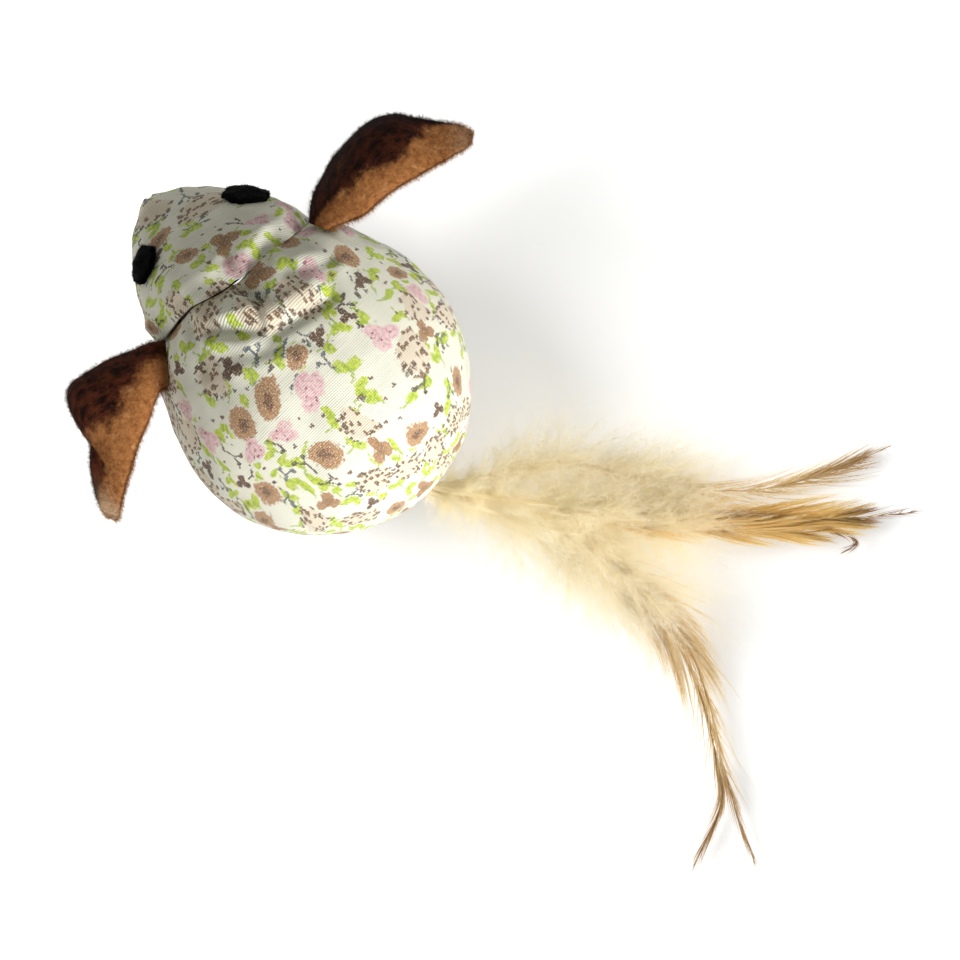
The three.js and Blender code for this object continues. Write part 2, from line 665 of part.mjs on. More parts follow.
function closingStitches() {
  const first = TAIL_OPENING / 2 + STITCH_STEP;
  return Array.from({ length: 2 * STITCH_COUNT }, (_, step) => {
    const polar = (first + (step * STITCH_STEP) / 2) / POLE_DISTANCE;
    const point = ballPoint(polar, 0, -CLEARANCE - STITCH_THREAD / 2);
    return along(point, SEAM_NORMAL, (step % 2 ? 1 : -1) * (STITCH_SPREAD / 2));
  });
}

addPiece('closing_stitches', threadSolid(closingStitches(), STITCH_THREAD), 'sewing_thread');

// Felt eyes, cut round and laid on the snout's skin
function eye({ forwardShare, around }) {
  const angle = turn(around);
  const step = 1e-3;
  const origin = snoutPoint(forwardShare, angle);
  const ahead = snoutPoint(forwardShare + step, angle).sub(origin).divideScalar(step);
  const round = snoutPoint(forwardShare, angle + step).sub(origin).divideScalar(step);
  const normal = snoutNormal(forwardShare, angle);
  const across = normal.clone().cross(ahead).normalize();
  const place = (radius, turned, rise) => {
    const roundStep = (radius * Math.sin(turned)) / round.dot(across);
    const forwardStep = (radius * Math.cos(turned) - roundStep * round.dot(ahead) / ahead.length()) / ahead.length();
    return snoutInset(forwardShare + forwardStep, angle + roundStep, -rise);
  };
  const ring = (radius, rise) => Array.from({ length: EYE_SIDES }, (_, side) => (
    place(radius, (side / EYE_SIDES) * 2 * Math.PI, rise)));
  const low = CLEARANCE;
  const high = CLEARANCE + EYE_THICKNESS;
  const rim = EYE_WIDTH / 2;
  const rings = [ring(rim / 2, low), ring(rim, low), ring(rim, high), ring(rim / 2, high)];
  return loftSolid(rings, place(0, 0, low), place(0, 0, high));
}

for (const [name, place] of Object.entries(EYE_PLACES)) {
  addPiece(name, eye(place), 'black_felt');
}

// Felt ears, arched from the front edge to the rear edge
function earRoot({ behind, around }) {
  const angle = turn(around);
  return ballPoint(neckAngle(angle, behind), angle, -FELT / 2 - CLEARANCE / 2);
}

function ear(name, reach, shares, outwards) {
  const front = earRoot(EAR_ROOTS[name].front);
  const rear = earRoot(EAR_ROOTS[name].rear);
  const root = front.clone().add(rear).multiplyScalar(0.5);
  const place = ([out, back, up]) => root.clone().add(vec(outwards * out, back, up).multiplyScalar(reach));
  const rows = shares.map(([frontShare, rearShare, archShare], index) => {
    const edges = index ? [place(frontShare), place(rearShare)] : [front, rear];
    return Array.from({ length: EAR_COLUMNS + 1 }, (_, column) => {
      const across = column / EAR_COLUMNS;
      const rise = reach * archShare * (1 - (2 * across - 1) ** 2);
      return along(edges[0].clone().lerp(edges[1], across), UP, rise);
    });
  });
  const normalAt = (r, c) => {
    const down = rows[Math.min(r + 1, rows.length - 1)][c].clone().sub(rows[Math.max(r - 1, 0)][c]);
    const across = rows[r][Math.min(c + 1, EAR_COLUMNS)].clone().sub(rows[r][Math.max(c - 1, 0)]);
    return down.cross(across).normalize();
  };
  const face = (side) => rows.map((row, r) => row.map((point, c) => along(point, normalAt(r, c), (side * FELT) / 2)));
  return sheetSolid(face(1), face(-1));
}

addPiece('ear_left', ear('ear_left', EAR_REACH_LEFT, LEFT_EAR_SHARES, 1), 'brown_felt');
addPiece('ear_right', ear('ear_right', EAR_REACH_RIGHT, RIGHT_EAR_SHARES, -1), 'brown_felt');

// Tail root: the quills stand in a ring, whipped with thread, and a loop of thread ties them in
const PIVOT = ballPoint(0, 0, PIVOT_DEPTH);
const tailAhead = vec(-Math.sin(turn(TAIL_HEADING)), Math.cos(turn(TAIL_HEADING)), -Math.tan(turn(TAIL_DIP)));
const TAIL_FRAME = levelFrames([PIVOT, PIVOT.clone().add(tailAhead)])[0];
const QUILL_COUNT = Object.keys(FEATHER_SHARES).length;
const QUILL_CIRCLE = QUILL_SPACING / 2 / Math.sin(Math.PI / QUILL_COUNT);
const WHIPPING_RADIUS = QUILL_CIRCLE + QUILL / 2 + CLEARANCE + WHIPPING_THREAD / 2;
const WHIPPING_OUTSIDE = WHIPPING_RADIUS + WHIPPING_THREAD / 2;

function tailPlace(ahead, side, lift) {
  const point = along(PIVOT, TAIL_FRAME.ahead, ahead);
  return along(along(point, TAIL_FRAME.side, side), TAIL_FRAME.lift, lift);
}

function whippingPoints() {
  const steps = WHIPPING_TURNS * LOOP_STEPS;
  return Array.from({ length: steps + 1 }, (_, step) => {
    const angle = (step / LOOP_STEPS) * 2 * Math.PI;
    const ahead = WHIPPING_PITCH * (step / LOOP_STEPS - WHIPPING_TURNS / 2);
    return tailPlace(ahead, WHIPPING_RADIUS * Math.cos(angle), WHIPPING_RADIUS * Math.sin(angle));
  });
}

// Room for the whipped quills to tip up inside the loop, which lies across the whipping's middle
function loopPoints() {
  const tipped = turn(TAIL_LIFT);
  const halfWidth = WHIPPING_OUTSIDE + CLEARANCE + WHIPPING_THREAD / 2;
  const halfHeight = WHIPPING_OUTSIDE / Math.cos(tipped) + (WHIPPING_THREAD / 2) * (Math.tan(tipped) + 1) + CLEARANCE / 2;
  const open = turn(LOOP_OPEN_ANGLE);
  return Array.from({ length: LOOP_STEPS + 1 }, (_, step) => {
    const angle = mix(open / 2, 2 * Math.PI - open / 2, step / LOOP_STEPS) - Math.PI / 2;
    return tailPlace(0, halfWidth * Math.cos(angle), halfHeight * Math.sin(angle));
  });
}

function leastTurnGap(points, thread) {
  let least = Infinity;
  points.forEach((point, index) => {
    for (let other = index + LOOP_STEPS / 2; other < points.length; other += 1) {
      least = Math.min(least, point.distanceTo(points[other]) - thread);
    }
  });
  return least;
}

console.log(`tail_whipping: least gap ${leastTurnGap(whippingPoints(), WHIPPING_THREAD).toFixed(3)} mm`);
addPiece('tail_whipping', threadSolid(whippingPoints(), WHIPPING_THREAD), 'sewing_thread');
addPiece('tail_tie_loop', threadSolid(loopPoints(), WHIPPING_THREAD), 'sewing_thread');

// Feathers, each one body: quill, down and vane. Where each quill stands in the ring, in degrees.
const QUILL_ANGLES = { feather_1: 180, feather_2: 252, feather_3: 108, feather_4: 324, feather_5: 36 };
const TAIL_ORIGIN = vec(PIVOT.x, PIVOT.y, 0);

function featherCurve(name) {
  const angle = turn(QUILL_ANGLES[name]);
  const inRing = (ahead) => tailPlace(ahead, QUILL_CIRCLE * Math.cos(angle), QUILL_CIRCLE * Math.sin(angle));
  const free = FEATHER_SHARES[name].map(([side, back, height]) => (
    vec(side, back, height).multiplyScalar(TAIL_REACH).add(TAIL_ORIGIN)));
  return new THREE.CatmullRomCurve3([inRing(-BUTT_LENGTH), inRing(0), inRing(QUILL_NECK_LENGTH), ...free], false,
    'centripetal');
}

const curves = Object.fromEntries(Object.keys(FEATHER_SHARES).map((name) => [name, featherCurve(name)]));
const samples = Object.fromEntries(Object.entries(curves).map(([name, curve]) => (
  [name, curve.getSpacedPoints(4 * FEATHER_RINGS)])));

function room(name, point) {
  const others = Object.entries(samples).filter(([other]) => other !== name).flatMap(([, list]) => list);
  return Math.min(...others.map((other) => other.distanceTo(point))) / 2 - CLEARANCE / 2;
}

function feather(name) {
  const points = curves[name].getSpacedPoints(FEATHER_RINGS);
  const length = curves[name].getLength();
  const halfWidths = [];
  const halfHeights = [];
  points.forEach((point, ring) => {
    const distance = (ring / FEATHER_RINGS) * length - BUTT_LENGTH;
    const fluff = smooth(distance, FLUFF_START, FLUFF_FULL) * (1 - smooth(distance, FLUFF_END, FLUFF_END + FLUFF_FADE));
    const left = smooth(length - BUTT_LENGTH - distance, 0, TAPER_LENGTH);
    const vane = smooth(distance, FLUFF_FULL, FLUFF_END) * left;
    const wide = Math.max(mix(TIP_WIDTH, QUILL, left), FLUFF_WIDTH * fluff, VANE_WIDTH * vane) / 2;
    const halfWidth = Math.min(wide, room(name, point));
    const flat = Math.max(TIP_WIDTH, VANE_THICKNESS * vane, QUILL * (1 - vane)) / 2;
    const halfHeight = mix(Math.min(flat, halfWidth), halfWidth, fluff);
    halfWidths.push(halfWidth);
    halfHeights.push(Math.min(halfHeight, Math.max(point.z - FLOOR_GAP, TIP_WIDTH / 2)));
  });
  return sweepSolid(levelFrames(points), halfWidths, halfHeights, FEATHER_SIDES);
}

const FEATHER_FINISH = {
  feather_1: 'pale_feather',
  feather_2: 'golden_feather',
  feather_3: 'golden_feather',
  feather_4: 'pale_feather',
  feather_5: 'pale_feather',
};
for (const name of Object.keys(FEATHER_SHARES)) {
  addPiece(name, feather(name), FEATHER_FINISH[name]);
}

export default mouse;
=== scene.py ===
"""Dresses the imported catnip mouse: printed cotton cover, felt ears and eyes, and a feather tail."""

import math

import bmesh
import bpy
import numpy as np
from mathutils import Matrix, Vector


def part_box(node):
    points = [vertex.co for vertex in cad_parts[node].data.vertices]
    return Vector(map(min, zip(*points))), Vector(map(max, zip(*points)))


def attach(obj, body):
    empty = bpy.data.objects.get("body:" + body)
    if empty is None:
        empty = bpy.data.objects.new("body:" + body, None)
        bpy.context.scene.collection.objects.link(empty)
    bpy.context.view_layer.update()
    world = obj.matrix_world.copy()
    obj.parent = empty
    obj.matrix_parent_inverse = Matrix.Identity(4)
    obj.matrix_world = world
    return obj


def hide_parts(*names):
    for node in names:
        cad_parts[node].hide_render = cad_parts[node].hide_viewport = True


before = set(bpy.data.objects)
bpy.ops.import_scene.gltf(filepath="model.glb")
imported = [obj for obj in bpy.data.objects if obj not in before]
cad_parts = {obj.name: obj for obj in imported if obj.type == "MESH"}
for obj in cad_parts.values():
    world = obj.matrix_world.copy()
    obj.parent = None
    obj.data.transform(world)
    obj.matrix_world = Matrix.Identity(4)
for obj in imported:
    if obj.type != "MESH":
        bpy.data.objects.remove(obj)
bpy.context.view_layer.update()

MM = 0.001
PIXEL = 0.2  # millimetres of the object to a pixel of the picture, at the height of the ball's middle
TURN = 2 * np.pi

# Vectors, in millimetres


def vec(*parts):
    return np.array(parts, float)


def norm(a):
    return np.linalg.norm(a, axis=-1)


def unit(a):
    return a / np.maximum(np.linalg.norm(a, axis=-1, keepdims=True), 1e-12)


def dot(a, b):
    return np.sum(a * b, axis=-1)


def mix(a, b, t):
    return a + (b - a) * t


def smooth(x, low, high):
    """0 below low, 1 above high, and an even ramp between them."""
    t = np.clip((x - low) / (high - low), 0, 1)
    return t * t * (3 - 2 * t)


def bump(x, width):
    return np.exp(-((x / width) ** 2))


def turns(count):
    return np.linspace(0, TURN, count, endpoint=False)


def stacked(*parts):
    return np.stack(np.broadcast_arrays(*parts), -1)


def lengths(points):
    """How far along a line of points each one lies, or along each column of a grid of them."""
    steps = norm(np.diff(points, axis=0))
    return np.concatenate([np.zeros_like(steps[:1]), np.cumsum(steps, 0)])


def above_floor(places, height):
    """The places, with none of them lower than the height."""
    return np.maximum(places, vec(-np.inf, -np.inf, height))


def waves(places, length, seed, count=14):
    """Smooth seeded noise over places, about -1 to 1, with bumps of the given length."""
    rng = np.random.default_rng(seed)
    total = np.zeros(places.shape[:-1])
    for _ in range(count):
        direction = unit(rng.normal(size=places.shape[-1]))
        pitch = length * rng.uniform(0.7, 1.6)
        total += np.sin(places @ direction * (TURN / pitch) + rng.uniform(0, TURN))
    return total / math.sqrt(count)


def bisected(low, high, count, is_low):
    """The greatest value between low and high for which is_low still holds."""
    for _ in range(count):
        middle = (low + high) / 2
        held = is_low(middle)
        low, high = np.where(held, middle, low), np.where(held, high, middle)
    return low


# The skin, as the CAD part has it

BALL_HALF_WIDTH, BALL_RISE, BALL_DROP, BALL_REAR, BALL_FRONT = 30.4, 30.4, 28.5, 30.4, 32.8
FLAT_DEPTH = 0.5
FLOOR_GAP = 0.02
NECK_REACH, NECK_YAW, NECK_LEAN = 26.2, 5.3, 11
HEAD_SIDE_SHIFT, HEAD_LENGTH, NOSE_HEIGHT, NOSE_SIDE = 0.8, 25.4, 20, 0.5
SNOUT_POWER, SNOUT_BLUNTNESS = 2, 0.72
SEAM_GAP, ALLOWANCE, CLOTH = 0.4, 3, 0.6
TAIL_HEIGHT, TAIL_OPENING = 18.6, 9.6

UP = vec(0, 0, 1)
LEFT = vec(1, 0, 0)
MIDDLE = vec(0, 0, BALL_DROP - FLAT_DEPTH)
TAIL_DROP = MIDDLE[2] - TAIL_HEIGHT
TAIL_BACK = BALL_REAR * math.sqrt(1 - (TAIL_DROP / BALL_DROP) ** 2)
SEAM_SLOPE = TAIL_DROP / (TAIL_BACK + NECK_REACH)
HUB = MIDDLE - UP * NECK_REACH * SEAM_SLOPE
TAIL_AXIS = unit(vec(0, 1, -SEAM_SLOPE))
SEAM_NORMAL = np.cross(LEFT, TAIL_AXIS)


def skin_distance(direction):
    def inside(distance):
        x, y, z = np.moveaxis(HUB + direction * distance[..., None] - MIDDLE, -1, 0)
        share = np.sqrt(
            (x / BALL_HALF_WIDTH) ** 2
            + (y / np.where(y > 0, BALL_REAR, BALL_FRONT)) ** 2
            + (z / np.where(z > 0, BALL_RISE, BALL_DROP)) ** 2
        )
        return share < 1

    shape = direction.shape[:-1]
    return bisected(np.zeros(shape), np.full(shape, 2 * BALL_FRONT), 32, inside)


def bend(place):
    return place - LEFT * (HEAD_SIDE_SHIFT * smooth(-place[..., 1:2], 0, NECK_REACH))


def ball_point(polar, around, depth=0):
    """A place on the ball by two angles, from the tail's axis and around it, and a depth under the skin."""
    polar, around, depth = np.broadcast_arrays(*(np.asarray(x, float) for x in (polar, around, depth)))
    direction = (
        TAIL_AXIS * np.cos(polar)[..., None]
        + LEFT * (np.sin(polar) * np.cos(around))[..., None]
        + SEAM_NORMAL * (np.sin(polar) * np.sin(around))[..., None]
    )
    radius = skin_distance(direction) - depth
    down = np.minimum(direction[..., 2], -1e-9)
    floor = np.where(direction[..., 2] < 0, (HUB[2] - depth) / -down, radius)
    return bend(HUB + direction * np.minimum(radius, floor)[..., None])


NECK_NORMAL = unit(vec(-math.tan(math.radians(NECK_YAW)), -1, math.tan(math.radians(NECK_LEAN))))
NECK_PLACE = bend(vec(0, -NECK_REACH, MIDDLE[2]))
OPENING_ANGLE = math.asin(TAIL_OPENING / 2 / BALL_REAR)


def neck_angle(around, back):
    """How far from the tail's axis the neck seam lies, or a line that is back from it."""

    def behind(polar):
        return dot(ball_point(polar, around) - NECK_PLACE, NECK_NORMAL) < -back

    shape = np.shape(around)
    return bisected(np.full(shape, np.pi / 2), np.full(shape, np.pi), 26, behind)


def neck_point(around):
    around = np.asarray(around, float)
    return ball_point(neck_angle(around, 0), around)


NECK_CENTRE = (neck_point(0.0) + neck_point(np.pi)) / 2
NOSE = vec(NECK_CENTRE[0] + NOSE_SIDE, -NECK_REACH - HEAD_LENGTH, NOSE_HEIGHT)
SNOUT_AXIS = NOSE - NECK_CENTRE


def snout_middle(forward):
    return NECK_CENTRE + SNOUT_AXIS * np.asarray(forward)[..., None]


def snout_point(forward, around):
    """A place on the snout by the share of the way from neck to nose and the angle around it."""
    forward, around = np.broadcast_arrays(np.asarray(forward, float), np.asarray(around, float))
    scale = np.maximum(1 - np.clip(forward, 0, 1) ** SNOUT_POWER, 0) ** SNOUT_BLUNTNESS
    return snout_middle(forward) + (neck_point(around) - NECK_CENTRE) * scale[..., None]


# how far the cloth is pulled towards the head at angles round the neck, in degrees from the mouse's left
NECK_LEANS = [
    (-60, 0), (-20, 0.6), (5, 1.4), (31, 2.3), (47, 3.5), (63, 4.2), (79, 3.2), (95, 2.3), (111, 2.8),
    (127, 2.1), (143, 1.7), (167, 0.9), (190, 0.4), (230, 0),
]


def pulled(places):
    """Places near the neck, where the sewn cloth is pulled towards the head."""
    way = places - NECK_CENTRE
    ahead = dot(way, NECK_NORMAL)
    round_neck = way - NECK_NORMAL * ahead[..., None]
    angle = np.degrees(np.arctan2(dot(round_neck, SEAM_NORMAL), dot(round_neck, LEFT)))
    angle = np.where(angle < -90, angle + 360, angle)
    lean = np.interp(angle, *zip(*NECK_LEANS)) * smooth(norm(round_neck), 3, 9)
    lean = lean * np.exp(-np.abs(ahead) / np.where(ahead > 0, 9, 13))
    return places + NECK_NORMAL * lean[..., None] - unit(round_neck) * (0.35 * lean)[..., None]


# Meshes


def linked(name, data):
    obj = bpy.data.objects.new(name, data)
    bpy.context.scene.collection.objects.link(obj)
    return obj


def grid_faces(rows, columns, around=False):
    r, c = np.meshgrid(np.arange(rows - 1), np.arange(columns if around else columns - 1), indexing="ij")
    here, after = r * columns + c, r * columns + (c + 1) % columns
    return np.stack([here, after, after + columns, here + columns], -1).reshape(-1, 4)


def cap_faces(rows, columns):
    """Triangles that close both ends of a round grid, each to a place that is listed after the grid's own."""
    ring = np.arange(columns)
    after = np.roll(ring, -1)
    pole = np.full(columns, rows * columns)
    last = (rows - 1) * columns
    first_cap = np.stack([pole, after, ring], -1)
    return np.concatenate([first_cap, np.stack([pole + 1, last + ring, last + after], -1)])


def outward_faces(grid, centre):
    """The faces of a grid of places, turned so that they look away from a centre."""
    faces = grid_faces(*grid.shape[:2])
    corners = grid.reshape(-1, 3)[faces]
    normal = np.cross(corners[:, 2] - corners[:, 0], corners[:, 3] - corners[:, 1])
    return faces if np.sum(dot(normal, corners.mean(1) - centre)) > 0 else faces[:, ::-1]


def normals_of(grid):
    return unit(np.cross(np.gradient(grid, axis=0), np.gradient(grid, axis=1)))


def facing(normal, way):
    """Normals, with those that look against the way turned round."""
    return np.where(dot(normal, way)[..., None] < 0, -normal, normal)


def piece(name, node, slot, places, faces, body="root", maps=None, table=None):
    """A mesh of places in millimetres that is seen instead of a CAD node.

    maps are named vectors of its vertices, and table a pair of shares for its texture map.
    """
    mesh = bpy.data.meshes.new(name)
    places = np.asarray(places, np.float32).reshape(-1, 3)
    mesh.vertices.add(len(places))
    mesh.vertices.foreach_set("co", (places * MM).ravel())
    mesh.loops.add(faces.size)
    mesh.loops.foreach_set("vertex_index", faces.astype(np.int32).ravel())
    mesh.polygons.add(len(faces))
    mesh.polygons.foreach_set("loop_start", np.arange(0, faces.size, faces.shape[1], dtype=np.int32))
    mesh.polygons.foreach_set("use_smooth", np.full(len(faces), True))
    mesh.update(calc_edges=True)
    mesh.validate()
    for key, values in (maps or {}).items():
        layer = mesh.attributes.new(key, "FLOAT_VECTOR", "POINT")
        layer.data.foreach_set("vector", np.asarray(values, np.float32).ravel())
    if table is not None:
        layer = mesh.uv_layers.new(name="OFBake")
        layer.uv.foreach_set("vector", np.asarray(table, np.float32)[faces.ravel()].ravel())
    mesh.materials.append(LOOKS[slot])
    obj = linked(name, mesh)
    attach(obj, body)
    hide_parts(node)
    return obj


# Materials, each a graph of nodes written as sums


class Value:
    """A number or vector that a node gives, with arithmetic."""

    def __init__(self, graph, socket):
        self.graph = graph
        self.socket = socket

    def __add__(self, other):
        return self.graph.maths("ADD", self, other)

    def __sub__(self, other):
        return self.graph.maths("SUBTRACT", self, other)

    def __rsub__(self, other):
        return self.graph.maths("SUBTRACT", other, self)

    def __mul__(self, other):
        return self.graph.maths("MULTIPLY", self, other)

    def __truediv__(self, other):
        return self.graph.maths("DIVIDE", self, other)

    __radd__ = __add__
    __rmul__ = __mul__


class Graph:
    def __init__(self, name):
        self.material = bpy.data.materials.new(name)
        self.material.use_nodes = True
        self.tree = self.material.node_tree
        self.shader = self.tree.nodes["Principled BSDF"]

    def node(self, kind, *values, **settings):
        """A node with values on its first sockets, where None leaves a socket as it is."""
        node = self.tree.nodes.new("ShaderNode" + kind)
        for key, value in settings.items():
            setattr(node, key, value)
        for socket, value in zip(node.inputs, values):
            self.put(socket, value)
        return node

    def put(self, socket, value):
        if isinstance(value, Value):
            self.tree.links.new(value.socket, socket)
        elif value is not None:
            socket.default_value = value

    def value(self, kind, *values, output=0, **settings):
        return Value(self, self.node(kind, *values, **settings).outputs[output])

    def maths(self, operation, *values):
        return self.value("Math", *values, operation=operation)

    def size(self, value):
        return self.maths("ABSOLUTE", value)

    def map(self, name):
        return self.value("Attribute", output="Vector", attribute_name=name)

    def part(self, vector, axis):
        return self.value("SeparateXYZ", vector, output=axis)

    def vector(self, x, y, z=0.0):
        return self.value("CombineXYZ", x, y, z)

    def between(self, a, b, share):
        node = self.node("Mix", data_type="RGBA")
        self.put(node.inputs["Factor"], share)
        for socket, value in zip((node.inputs[6], node.inputs[7]), (a, b)):
            self.put(socket, value if isinstance(value, Value) else (*value, 1.0))
        return Value(self, node.outputs[2])

    def noise(self, vector, scale, detail=2.0, rough=0.5, color=False):
        node = self.node("TexNoise", vector)
        for name, value in (("Scale", scale), ("Detail", detail), ("Roughness", rough)):
            node.inputs[name].default_value = value
        return Value(self, node.outputs["Color" if color else "Fac"])

    def step(self, value, low, high):
        """0 below low and 1 above high, or the other way round where high is the lower."""
        start, end, below, above = (high, low, 1.0, 0.0) if low > high else (low, high, 0.0, 1.0)
        return self.value("MapRange", value, start, end, below, above, interpolation_type="SMOOTHSTEP")

    def scatter(self, x, y, cell, spread, seed):
        """Places scattered one to a cell: the way from the nearest one, and three random numbers of its own."""
        scaled = self.vector(x * (1 / cell) + seed * 7.31, y * (1 / cell) + seed * 3.77)
        node = self.node("TexVoronoi", scaled, voronoi_dimensions="2D", feature="F1")
        node.inputs["Scale"].default_value = 1.0
        node.inputs["Randomness"].default_value = spread
        spot, pick = Value(self, node.outputs["Position"]), Value(self, node.outputs["Color"])
        away_x, away_y = ((self.part(scaled, axis) - self.part(spot, axis)) * cell for axis in range(2))
        return away_x, away_y, [self.part(pick, axis) for axis in range(3)]

    def turned(self, x, y, angle):
        cosine, sine = self.maths("COSINE", angle), self.maths("SINE", angle)
        return x * cosine + y * sine, y * cosine - x * sine

    def finish(self, color, rough, height=None, distance=None, strength=1.0, **inputs):
        self.put(self.shader.inputs["Base Color"], color)
        self.put(self.shader.inputs["Roughness"], rough)
        for name, value in inputs.items():
            self.shader.inputs[name.replace("_", " ")].default_value = value
        if height is not None:
            node = self.node("Bump")
            for name, value in (("Strength", strength), ("Distance", distance), ("Height", height)):
                self.put(node.inputs[name], value)
            self.tree.links.new(node.outputs[0], self.shader.inputs["Normal"])
        return self.material


def shade(red, green, blue):
    """A colour as the eye names it, 0 to 255, in the linear numbers that a shader takes."""
    shares = (red / 255, green / 255, blue / 255)
    return tuple(x / 12.92 if x <= 0.04045 else ((x + 0.055) / 1.055) ** 2.4 for x in shares)


THREAD_RELIEF, FELT_RELIEF, FIBRE_RELIEF = 0.08 * MM, 0.4 * MM, 0.5 * MM
RIB_PITCH, WEFT_PITCH = 0.42, 0.45
FLOWER_CELL, LEAF_CELL, SMALL_LEAF_CELL, TWIG_CELL, SPECK_CELL, SEED_CELL = 8.4, 5.2, 4.2, 5.6, 2.7, 1.3


def printed_cotton():
    """Small flowers scattered over pale cotton, with the ink held by whole threads of the weave."""
    g = Graph("printed_cotton")
    cloth = g.map("cloth")
    flat_x, flat_y = g.part(cloth, 0), g.part(cloth, 1)
    drift = g.noise(cloth, 0.045, 1.0, color=True)
    fray = g.noise(cloth, 0.85, 3.0, color=True)
    grain = g.noise(cloth, 3.2, 2.0)
    blotch = g.noise(cloth, 1.3, 1.0)

    def on_threads(value, axis, pitch):
        held = value + (g.maths("SNAP", value, pitch) - value) * 0.75
        return held + (g.part(drift, axis) - 0.5) * 11 + (g.part(fray, axis) - 0.5) * 1.3

    x, y = on_threads(flat_x, 0, WEFT_PITCH), on_threads(flat_y, 1, RIB_PITCH)
    color = shade(240, 238, 220)

    def ink(mask, paint, strength=1.0):
        nonlocal color
        color = g.between(color, paint, mask * (g.step(grain, 0.18, 0.5) * strength))

    def far(a, b):
        return g.maths("SQRT", a * a + b * b)

    def less(value, limit):
        return g.maths("LESS_THAN", value, limit)

    # Flower heads, one to a cell, of five kinds, and some cells left to the leaves
    away_x, away_y, (kind, angle, size) = g.scatter(x, y, FLOWER_CELL, 0.66, 1.0)
    turned_x, turned_y = g.turned(away_x, away_y, angle * 6.28)
    reach = far(away_x, away_y) * (1.14 - size * 0.26)
    ragged = blotch - 0.5
    lobes = g.size(g.maths("COSINE", g.maths("ARCTAN2", turned_y, turned_x) * 1.5))

    def is_kind(low, high):
        return g.maths("GREATER_THAN", kind, low) * less(kind, high)

    umbel, disc, petalled = is_kind(-1, 0.32), is_kind(0.32, 0.47), is_kind(0.47, 0.55)
    blossom, sprig = is_kind(0.55, 0.78), is_kind(0.78, 0.88)
    rooms = (umbel, 4.9, 4.3), (disc, 3.5, 3.0), (petalled, 3.2, 2.8), (blossom, 3.4, 2.9), (sprig, 2.4, 2.0)
    free = 1 - sum(flower * g.step(reach, outer, inner) for flower, outer, inner in rooms)

    # Leaves in pairs on curved stems, then single ones between them
    lime = g.between(shade(208, 222, 66), shade(160, 188, 44), g.step(blotch, 0.42, 0.64))
    for cell, seed, share, paired in ((LEAF_CELL, 2.0, 0.62, True), (SMALL_LEAF_CELL, 6.0, 0.24, False)):
        leaf_x, leaf_y, (leaf_kind, leaf_turn, _) = g.scatter(x, y, cell, 0.8, seed)
        along, across = g.turned(leaf_x, leaf_y, leaf_turn * 6.28)
        beside, slant = (g.size(across) - 1.0, 0.85) if paired else (across, 0.3)
        blade_x, blade_y = g.turned(along - 0.6, beside, slant)
        has = less(leaf_kind, share) * free
        ink(g.step(far(blade_x * 0.66, blade_y * 1.12), 1.1, 0.92) * has, lime)
        bow = g.maths("SINE", along * 1.1) * 0.45
        stem = g.step(along, 0.7, 0.4) * g.step(along, -2.7, -2.4)
        ink(g.step(g.size(across - bow), 0.27, 0.15) * stem * has, shade(164, 188, 58), 0.9)

    # Slate twigs with a fork, and specks of seed
    twig_x, twig_y, (twig_kind, twig_turn, twig_tone) = g.scatter(x, y, TWIG_CELL, 0.85, 3.0)
    run, off = g.turned(twig_x, twig_y, twig_turn * 6.28)
    fork = g.size(off) - g.maths("MAXIMUM", run, 0.0) * 0.7
    twig = g.step(g.size(fork), 0.3, 0.16) * g.step(g.size(run), 2.1, 1.85)
    knob = g.step(far(run - 1.6, g.size(off) - 1.1), 0.62, 0.46)
    slate = g.between(shade(98, 106, 112), shade(92, 78, 68), g.step(twig_tone, 0.55, 0.6))
    ink(g.maths("MAXIMUM", twig, knob) * less(twig_kind, 0.26) * free, slate)
    speck_x, speck_y, (speck_kind, _, speck_size) = g.scatter(x, y, SPECK_CELL, 0.9, 4.0)
    specks = less(far(speck_x, speck_y * 1.3), 0.26 + speck_size * 0.3) * less(speck_kind, 0.24)
    ink(specks * free, g.between(shade(116, 118, 120), shade(120, 90, 70), g.step(speck_kind, 0.1, 0.12)))

    # Wide umbels: a faint beige cloud with brown blobs, thicker towards its edge
    seed_x, seed_y, (seed_pick, _, _) = g.scatter(x, y, SEED_CELL, 0.8, 5.0)
    from_seed = far(seed_x, seed_y)
    ink(g.step(reach + ragged * 3.4, 4.5, 3.7) * umbel, shade(226, 206, 180), 0.75)
    seeds = g.step(from_seed, 0.6, 0.42) * less(seed_pick, g.step(reach, 1.4, 4.0) * 0.35 + 0.42)
    seed_color = g.between(shade(128, 94, 68), shade(104, 78, 62), g.step(seed_pick, 0.3, 0.34))
    ink(seeds * g.step(reach, 5.0, 4.6) * umbel, seed_color)

    # Round brown flowers with a darker heart, and brown ones with three petals
    brown = g.between(shade(198, 154, 110), shade(168, 120, 80), g.step(grain, 0.42, 0.6))
    brown = g.between(brown, shade(120, 78, 50), g.step(reach + ragged * 2, 1.5, 0.7))
    ink(g.step(reach + ragged * 1.6, 3.0, 2.6) * disc, brown)
    petal_brown = g.between(brown, shade(166, 120, 78), 0.6)
    ink(g.step(reach / (0.5 + lobes * 0.62), 2.9, 2.6) * petalled, petal_brown)

